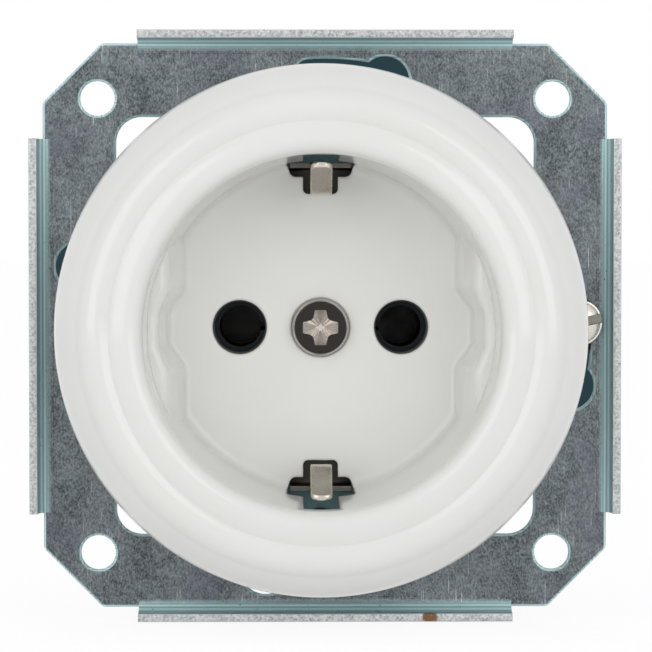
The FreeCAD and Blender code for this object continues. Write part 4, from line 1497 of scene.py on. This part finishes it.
@dataclass
class EarthBridge:
    """Stamped strip with an upturned end and a sprung finger at the top and at the bottom."""

    paint: bpy.types.Material
    gauge: float = 0.6
    width: float = 7.2
    reach: float = 18.7
    bend: float = 0.5
    root_top: float = 5.4
    finger_width: float = 2.45
    hump_reach: float = 15.5
    hump_height: float = 13.0
    hump_round: float = 2.4
    hump_length: float = 2.0
    end_reach: float = 18.55
    end_height: float = 19.0
    end_round: float = 0.8
    edge: float = 0.1
    screw_hole: float = 1.9
    tail: Point = (13.9, 14.7)
    tail_width: float = 4.6
    tail_back: float = -17.6

    def build(self) -> bpy.types.Object:
        """Bend the strip, add both fingers and the tail, and stand the bridge in its place.

        Returns:
            The piece.
        """
        strip = carve(self.strip(), [self.hole()], Carve.CUT)
        shapes = [strip, self.finger(), moved(self.finger(), HALF_TURN), self.terminal_tail()]
        shape = moved(joined(shapes), MECHANISM_SHIFT)
        return stand_piece("earth_strip", shape, self.paint, ["earth_bridge"])

    def strip(self) -> Shape:
        """Web across the base with both ends turned up.

        Returns:
            A closed shape.
        """
        inner, outer = self.reach, self.reach + self.gauge
        wide = self.bend + self.gauge
        back = BASE_FRONT - self.gauge
        foot = (inner - self.bend, BASE_FRONT)
        half = [
            *arc((outer - wide, back), (outer, back + wide), wide, Turn.LEFT, steps=8),
            (outer, back + wide),
            (outer, self.root_top),
            (inner, self.root_top),
            *arc((inner, BASE_FRONT + self.bend), foot, self.bend, Turn.RIGHT, steps=8),
            foot,
        ]
        section = half + [(-reach, height) for reach, height in reversed(half)]
        side = self.width / 2
        return loft([[(x, reach, height) for reach, height in section] for x in (-side, side)])

    def hole(self) -> Shape:
        """Cutter for the cover screw's hole."""
        outline = circle(0.0, 0.0, self.screw_hole)
        return upright(outline, BASE_FRONT - 2 * self.gauge, BASE_FRONT + self.gauge)

    def finger_path(self) -> list[Point]:
        """Inner face of the upper finger, from its root over the hump to its free end.

        Returns:
            Points of (reach, height).
        """
        half = self.hump_length / 2
        side = self.hump_reach + self.hump_round - math.sqrt(self.hump_round**2 - half**2)
        low, high = (side, self.hump_height - half), (side, self.hump_height + half)
        rounding, end = self.finger_end(self.end_round), self.finger_end(0.0)
        return [
            (self.reach, BASE_FRONT + self.bend),
            *straight((self.reach, self.root_top), low, steps=6),
            *arc(low, high, self.hump_round, Turn.RIGHT, steps=10),
            *straight(high, rounding, steps=10),
            *straight(rounding, end, steps=10),
            end,
        ]

    def finger_end(self, before: float) -> Point:
        """Place on the finger's inner face a little before its free end.

        Args:
            before: How far before it, in height.

        Returns:
            A point of (reach, height).
        """
        rise = self.end_height - self.hump_height
        slope = (self.end_reach - self.hump_reach) / rise
        return (self.end_reach - slope * before, self.end_height - before)

    def finger(self) -> Shape:
        """Upper finger: a strip with softened edges and a round free end.

        Returns:
            A closed shape.
        """
        path = self.finger_path()
        lengths = [0.0]
        for before, after in zip(path, path[1:]):
            lengths.append(lengths[-1] + math.dist(before, after))
        levels = []
        for place, done in zip(path, lengths):
            short = max(self.end_round - (lengths[-1] - done), 0.0)
            narrowing = self.end_round - math.sqrt(max(self.end_round**2 - short**2, 0.0))
            levels.append(self.finger_level(place, self.finger_width / 2 - narrowing))
        return loft(levels)

    def finger_level(self, place: Point, half: float) -> list[Place]:
        """Cross-section of the finger, with cut corners.

        Args:
            place: The (reach, height) of its inner face.
            half: Half of its width there.

        Returns:
            Points of (x, y, height).
        """
        near, height = place
        far, edge = near + self.gauge, self.edge
        corners = [
            (-half + edge, near),
            (half - edge, near),
            (half, near + edge),
            (half, far - edge),
            (half - edge, far),
            (-half + edge, far),
            (-half, far - edge),
            (-half, near + edge),
        ]
        return at_height(corners, height)

    def terminal_tail(self) -> Shape:
        """Tail that goes back into the earth terminal's cage.

        Returns:
            A closed shape.
        """
        side = self.tail_width / 2
        near, far = self.tail
        outline = [(-side, -far), (side, -far), (side, -near), (-side, -near)]
        return upright(outline, self.tail_back, BASE_FRONT - self.gauge / 2)


@dataclass
class CoverScrew:
    """Screw in the middle of the recess, with a painted dark reflection on its flat head and a bright cross
    recess.
    """

    paint: bpy.types.Material
    head: float = 3.28
    seat: float = 4.5
    top: float = 6.4
    rim: float = 0.35
    under: float = 0.1
    shank: float = 1.7
    tip_radius: float = 1.2
    tip_taper: float = 0.5
    tip: float = -5.0
    arm: float = 2.1
    arm_half: float = 0.66
    hollow: float = 0.92
    tip_round: float = 0.2
    hollow_round: float = 0.6
    cross_levels: tuple[Point, ...] = ((-0.2, 1.1), (0.0, 1.0), (0.35, 0.8), (0.75, 0.45), (1.15, 0.18))

    def build(self) -> bpy.types.Object:
        """Turn the screw, press the cross into its head and stand it in its place.

        Returns:
            The piece.
        """
        face_edge = (self.head - self.rim, self.top)
        profile = [
            (0.0, self.tip),
            (self.tip_radius, self.tip),
            (self.shank, self.tip + self.tip_taper),
            (self.shank, self.seat),
            (self.head - self.under, self.seat),
            (self.head, self.seat + self.under),
            *arc((self.head, self.top - self.rim), face_edge, self.rim, Turn.LEFT, steps=8),
            face_edge,
            (0.0, self.top),
        ]
        shape = carve(lathe(profile, steps=96), [self.cross()], Carve.CUT)
        shape = moved(shape, MECHANISM_SHIFT)
        return stand_piece("middle_screw", shape, self.paint, ["cover_screw"])

    def cross(self) -> Shape:
        """Cutter for the cross, which narrows to a point further in.

        Returns:
            A closed shape.
        """
        outline = self.cross_outline()
        levels = []
        for drop, scale in self.cross_levels:
            points = [(x * scale, y * scale) for x, y in outline]
            levels.append(at_height(points, self.top - drop))
        return loft(levels)

    def cross_outline(self) -> list[Point]:
        """Cross with flared arms and hollow rounds between them.

        Returns:
            Its points.
        """
        arm = [(self.arm, -self.arm_half), (self.arm, self.arm_half), (self.hollow, self.hollow)]
        corners = [corner for side in quarter_turned(arm) for corner in side]
        return round_corners(corners, [self.tip_round, self.tip_round, self.hollow_round] * 4)


class NodeGroup(NodeLayout):
    """Lays out a tree of geometry nodes and bakes it to a plain shape."""

    def __init__(self, name: str) -> None:
        """Start an empty tree with one geometry output.

        Args:
            name: Name of the tree.
        """
        super().__init__(bpy.data.node_groups.new(name, "GeometryNodeTree"))
        self.tree.interface.new_socket("Geometry", in_out="OUTPUT", socket_type="NodeSocketGeometry")
        self.entry = self.tree.nodes.new("NodeGroupInput")
        self.values: dict[str, object] = {}

    def knob(self, name: str, kind: str, value: object) -> Socket:
        """Add a named input.

        Args:
            name: Name of the input.
            kind: Type of its socket.
            value: What the bake sets it to.

        Returns:
            The output of the tree's entry that carries it.
        """
        socket = self.tree.interface.new_socket(name, in_out="INPUT", socket_type=kind)
        self.values[socket.identifier] = value
        return self.entry.outputs[name]

    def bake(self, geometry: Socket, paint: bpy.types.Material) -> Shape:
        """Finish the tree and evaluate it once.

        Args:
            geometry: The output to keep.
            paint: Material of the result.

        Returns:
            The plain shape, with no modifier left.
        """
        real = self.add("GeometryNodeRealizeInstances", {"Geometry": geometry})
        inputs = {"Geometry": real.outputs["Geometry"], "Material": paint}
        painted = self.add("GeometryNodeSetMaterial", inputs)
        self.add("NodeGroupOutput", {"Geometry": painted.outputs["Geometry"]})
        item = scratch_object(self.tree.name, bmesh.new())
        modifier = item.modifiers.new("nodes", "NODES")
        modifier.node_group = self.tree
        for identifier, value in self.values.items():
            modifier[identifier] = value
        return evaluated_shape(item)


@dataclass
class FastenerRing:
    """Equal fasteners round the socket's axis, placed by geometry nodes."""

    name: str
    fastener: Shape
    paint: bpy.types.Material
    slot: Slot
    stands_for: list[str]
    count: int
    reach: float
    first_angle: float
    turn: float
    height: float
    lean: float

    def build(self) -> bpy.types.Object:
        """Place the fasteners and stand them in their place.

        Returns:
            The piece.
        """
        pattern = scratch_object("fastener", self.fastener)
        shape = moved(self.place(pattern), MECHANISM_SHIFT)
        bpy.data.objects.remove(pattern)
        return stand_piece(self.name, shape, self.paint, self.stands_for)

    def place(self, pattern: bpy.types.Object) -> Shape:
        """Instance the pattern on a ring of points.

        Args:
            pattern: The fastener, drawn along its own axis.

        Returns:
            All the fasteners as one shape.
        """
        group = NodeGroup(self.name)
        count = group.knob("Count", "NodeSocketInt", self.count)
        reach = group.knob("Reach", "NodeSocketFloat", self.reach)
        first = group.knob("First angle", "NodeSocketFloat", math.radians(self.first_angle))
        turn = group.knob("Turn", "NodeSocketFloat", math.radians(self.turn))
        height = group.knob("Height", "NodeSocketFloat", self.height)
        lean = group.knob("Lean", "NodeSocketFloat", math.radians(self.lean))
        item = group.knob("Fastener", "NodeSocketObject", pattern)
        index = group.add("GeometryNodeInputIndex", {}).outputs["Index"]
        angle = group.combine("ADD", first, group.combine("MULTIPLY", index, turn))
        x = group.combine("MULTIPLY", reach, group.combine("COSINE", angle, 0.0))
        y = group.combine("MULTIPLY", reach, group.combine("SINE", angle, 0.0))
        place = group.add("ShaderNodeCombineXYZ", {"X": x, "Y": y, "Z": height}).outputs["Vector"]
        aim = group.add("ShaderNodeCombineXYZ", {"Y": lean, "Z": angle}).outputs["Vector"]
        points = group.add("GeometryNodePoints", {"Count": count, "Position": place})
        source = group.add("GeometryNodeObjectInfo", {"Object": item})
        inputs = {
            "Points": points.outputs["Geometry"],
            "Instance": source.outputs["Geometry"],
            "Rotation": aim,
        }
        copies = group.add("GeometryNodeInstanceOnPoints", inputs)
        return group.bake(copies.outputs["Instances"], self.paint)


@dataclass(frozen=True)
class SlottedScrew:
    """Screw with a rounded head and a straight driver slot, drawn along its own axis."""

    head: float
    rim: float
    rise: float
    shank: float
    length: float
    slot_width: float
    slot_share: float = 0.5
    tip_share: float = 0.75
    taper_share: float = 0.4

    def build(self) -> Shape:
        """Turn the screw and cut its slot.

        Returns:
            A closed shape.
        """
        dome = dome_radius(self.head, self.rise - self.rim)
        profile = [
            (0.0, -self.length),
            (self.shank * self.tip_share, -self.length),
            (self.shank, -self.length + self.shank * self.taper_share),
            (self.shank, 0.0),
            (self.head, 0.0),
            *arc((self.head, self.rim), (0.0, self.rise), dome, Turn.LEFT, steps=10),
            (0.0, self.rise),
        ]
        slot = driver_slot(self.head, self.slot_width, self.rise * self.slot_share, self.rise)
        return carve(lathe(profile, steps=48), [slot], Carve.CUT)


@dataclass(frozen=True)
class Rivet:
    """Rivet domed at both ends, drawn along its own axis."""

    head: float = 2.0
    rise: float = 0.8
    shank: float = 1.3
    back: float = -3.0
    front: float = 1.0

    def build(self) -> Shape:
        """Turn the rivet.

        Returns:
            A closed shape.
        """
        dome = dome_radius(self.head, self.rise)
        bottom, top = (0.0, self.back - self.rise), (0.0, self.front + self.rise)
        profile = [
            *arc(bottom, (self.head, self.back), dome, Turn.LEFT, steps=10),
            (self.head, self.back),
            (self.shank, self.back),
            (self.shank, self.front),
            *arc((self.head, self.front), top, dome, Turn.LEFT, steps=10),
            top,
        ]
        return lathe(profile, steps=48)


@dataclass
class BoxScrew:
    """Captive screw in the right-hand slot: stepped dome, driver slot and a real thread."""

    paint: bpy.types.Material
    reach: float = 30.15
    angle: float = 0.8
    spin: float = 11.0
    head: float = 2.75
    rim: float = 1.35
    step: float = 0.45
    bevel: float = 0.15
    groove: float = 0.2
    rise: float = 2.0
    slot_width: float = 1.1
    slot_floor: float = 0.7
    core: float = 1.28
    tip_share: float = 0.7
    length: float = 25.0
    plain: float = 3.0
    pitch: float = 0.5
    ridge: float = 0.23
    ridge_sides: int = 4
    steps_per_turn: int = 20

    def build(self) -> bpy.types.Object:
        """Turn the head, cut its slot, wind the thread and stand the screw in its place.

        Returns:
            The piece.
        """
        slot = driver_slot(self.head, self.slot_width, self.slot_floor, self.rise)
        blank = carve(lathe(self.profile(), steps=72), [slot], Carve.CUT)
        shape = joined([blank, self.thread()])
        shape.transform(Matrix.Rotation(math.radians(self.angle + self.spin), 4, "Z"))
        shape.transform(Matrix.Translation((*polar(self.reach, self.angle), SHEET)))
        return stand_piece("fixing_screw", shape, self.paint, ["box_screw"])

    def profile(self) -> list[Point]:
        """Section of the screw from its tip to the top of its dome.

        Returns:
            Points of (radius, height).
        """
        dome, bevel, outer = self.head - self.step, self.bevel, self.core + self.ridge
        radius = dome_radius(dome, self.rise - self.rim)
        rim_edge = (self.head - bevel, self.rim)
        return [
            (0.0, -self.length),
            (self.core * self.tip_share, -self.length),
            (self.core, -self.length + self.pitch),
            (self.core, -self.plain),
            (outer, -self.plain + self.pitch),
            (outer, 0.0),
            (self.head - bevel, 0.0),
            (self.head, bevel),
            *arc((self.head, self.rim - bevel), rim_edge, bevel, Turn.LEFT, steps=4),
            rim_edge,
            (dome + bevel, self.rim),
            (dome + bevel / 2, self.rim - self.groove),
            (dome, self.rim - self.groove),
            *arc((dome, self.rim), (0.0, self.rise), radius, Turn.LEFT, steps=14),
            (0.0, self.rise),
        ]

    def thread(self) -> Shape:
        """Wind a ridge round the core, by geometry nodes.

        Returns:
            A closed shape.
        """
        run = self.length - self.plain - 2 * self.pitch
        group = NodeGroup("thread")
        inputs = {
            "Resolution": group.knob("Steps per turn", "NodeSocketInt", self.steps_per_turn),
            "Rotations": group.knob("Turns", "NodeSocketFloat", run / self.pitch),
            "Start Radius": group.knob("Core radius", "NodeSocketFloat", self.core),
            "Height": group.knob("Run", "NodeSocketFloat", run),
        }
        helix = group.add("GeometryNodeCurveSpiral", {**inputs, "End Radius": self.core})
        ridge = group.knob("Ridge", "NodeSocketFloat", self.ridge)
        inputs = {"Resolution": self.ridge_sides, "Radius": ridge}
        profile = group.add("GeometryNodeCurvePrimitiveCircle", inputs)
        level = group.add("GeometryNodeSetCurveNormal", {"Curve": helix.outputs["Curve"]}, mode="Z_UP")
        inputs = {
            "Curve": level.outputs["Curve"],
            "Profile Curve": profile.outputs["Curve"],
            "Fill Caps": True,
        }
        wound = group.add("GeometryNodeCurveToMesh", inputs)
        shape = group.bake(wound.outputs["Mesh"], self.paint)
        return moved(shape, Matrix.Translation((0.0, 0.0, self.pitch - self.length)))


@dataclass
class CadPieces:
    """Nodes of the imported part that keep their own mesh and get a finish."""

    nodes: dict[str, bpy.types.Object]
    looks: dict[str, Look]
    paints: Paints

    def dress(self) -> None:
        """Give each node its finish."""
        for name, look in self.looks.items():
            item = self.nodes[name]
            item.data.materials.clear()
            item.data.materials.append(self.paints[look])
            smooth_round(item.data)
            LOG.info("%s: %s", name, look.value.name)


CAD_LOOKS = {
    "contact_base": Look.THERMOSET,
    "rear_cap": Look.THERMOSET,
    "earth_pillar": Look.PILLAR,
    "live_contact": Look.CONTACT,
    "neutral_contact": Look.CONTACT,
    "live_contact_spring": Look.SPRING,
    "neutral_contact_spring": Look.SPRING,
    "live_terminal_cage": Look.CAGE,
    "neutral_terminal_cage": Look.CAGE,
    "earth_terminal_cage": Look.CAGE,
    "screw_retainer": Look.FIBRE,
}


def fastener_rings(paints: Paints) -> list[FastenerRing]:
    """List the rivets and small screws round the socket's axis.

    Args:
        paints: The material of each look.

    Returns:
        The rings, ready to build.
    """
    cap_screw = SlottedScrew(head=2.0, rim=0.2, rise=1.3, shank=1.1, length=8.0, slot_width=0.9)
    terminal_screw = SlottedScrew(head=2.5, rim=1.3, rise=1.7, shank=1.5, length=3.4, slot_width=0.9)
    return [
        FastenerRing(
            "rivets",
            Rivet().build(),
            paints[Look.RIVET],
            Slot.RIVET_STEEL,
            ["plate_rivets"],
            count=2,
            reach=RIVET_REACH,
            first_angle=90.0,
            turn=180.0,
            height=0.0,
            lean=0.0,
        ),
        FastenerRing(
            "cap_screws",
            cap_screw.build(),
            paints[Look.SMALL_SCREW],
            Slot.NICKEL,
            ["rear_cap_screws"],
            count=2,
            reach=20.2,
            first_angle=45.0,
            turn=180.0,
            height=-20.0,
            lean=180.0,
        ),
        FastenerRing(
            "terminal_screws",
            terminal_screw.build(),
            paints[Look.SMALL_SCREW],
            Slot.NICKEL,
            [f"{pole}_terminal_screw" for pole in ("live", "earth", "neutral")],
            count=3,
            reach=18.3,
            first_angle=180.0,
            turn=90.0,
            height=-13.8,
            lean=90.0,
        ),
    ]


def main() -> None:
    """Load the part, dress it piece by piece and set up the studio."""
    logging.basicConfig(level=logging.INFO, format="%(message)s")
    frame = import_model()
    paints = {look: look.value.material() for look in Look}
    CadPieces(frame["nodes"], CAD_LOOKS, paints).dress()
    FrontCover(paints[Look.WHITE]).build()
    plate = SupportPlate(paints[Look.ZINC])
    plate.build()
    EarthBridge(paints[Look.BRIDGE]).build()
    CoverScrew(paints[Look.COVER_SCREW]).build()
    BoxScrew(paints[Look.BOX_SCREW]).build()
    for ring in fastener_rings(paints):
        ring.build()
    Studio().build()
    # Painted shade behind the plate's dark slots
    PaintedShadeCards(plate).build()


if __name__ == "__main__":
    main()
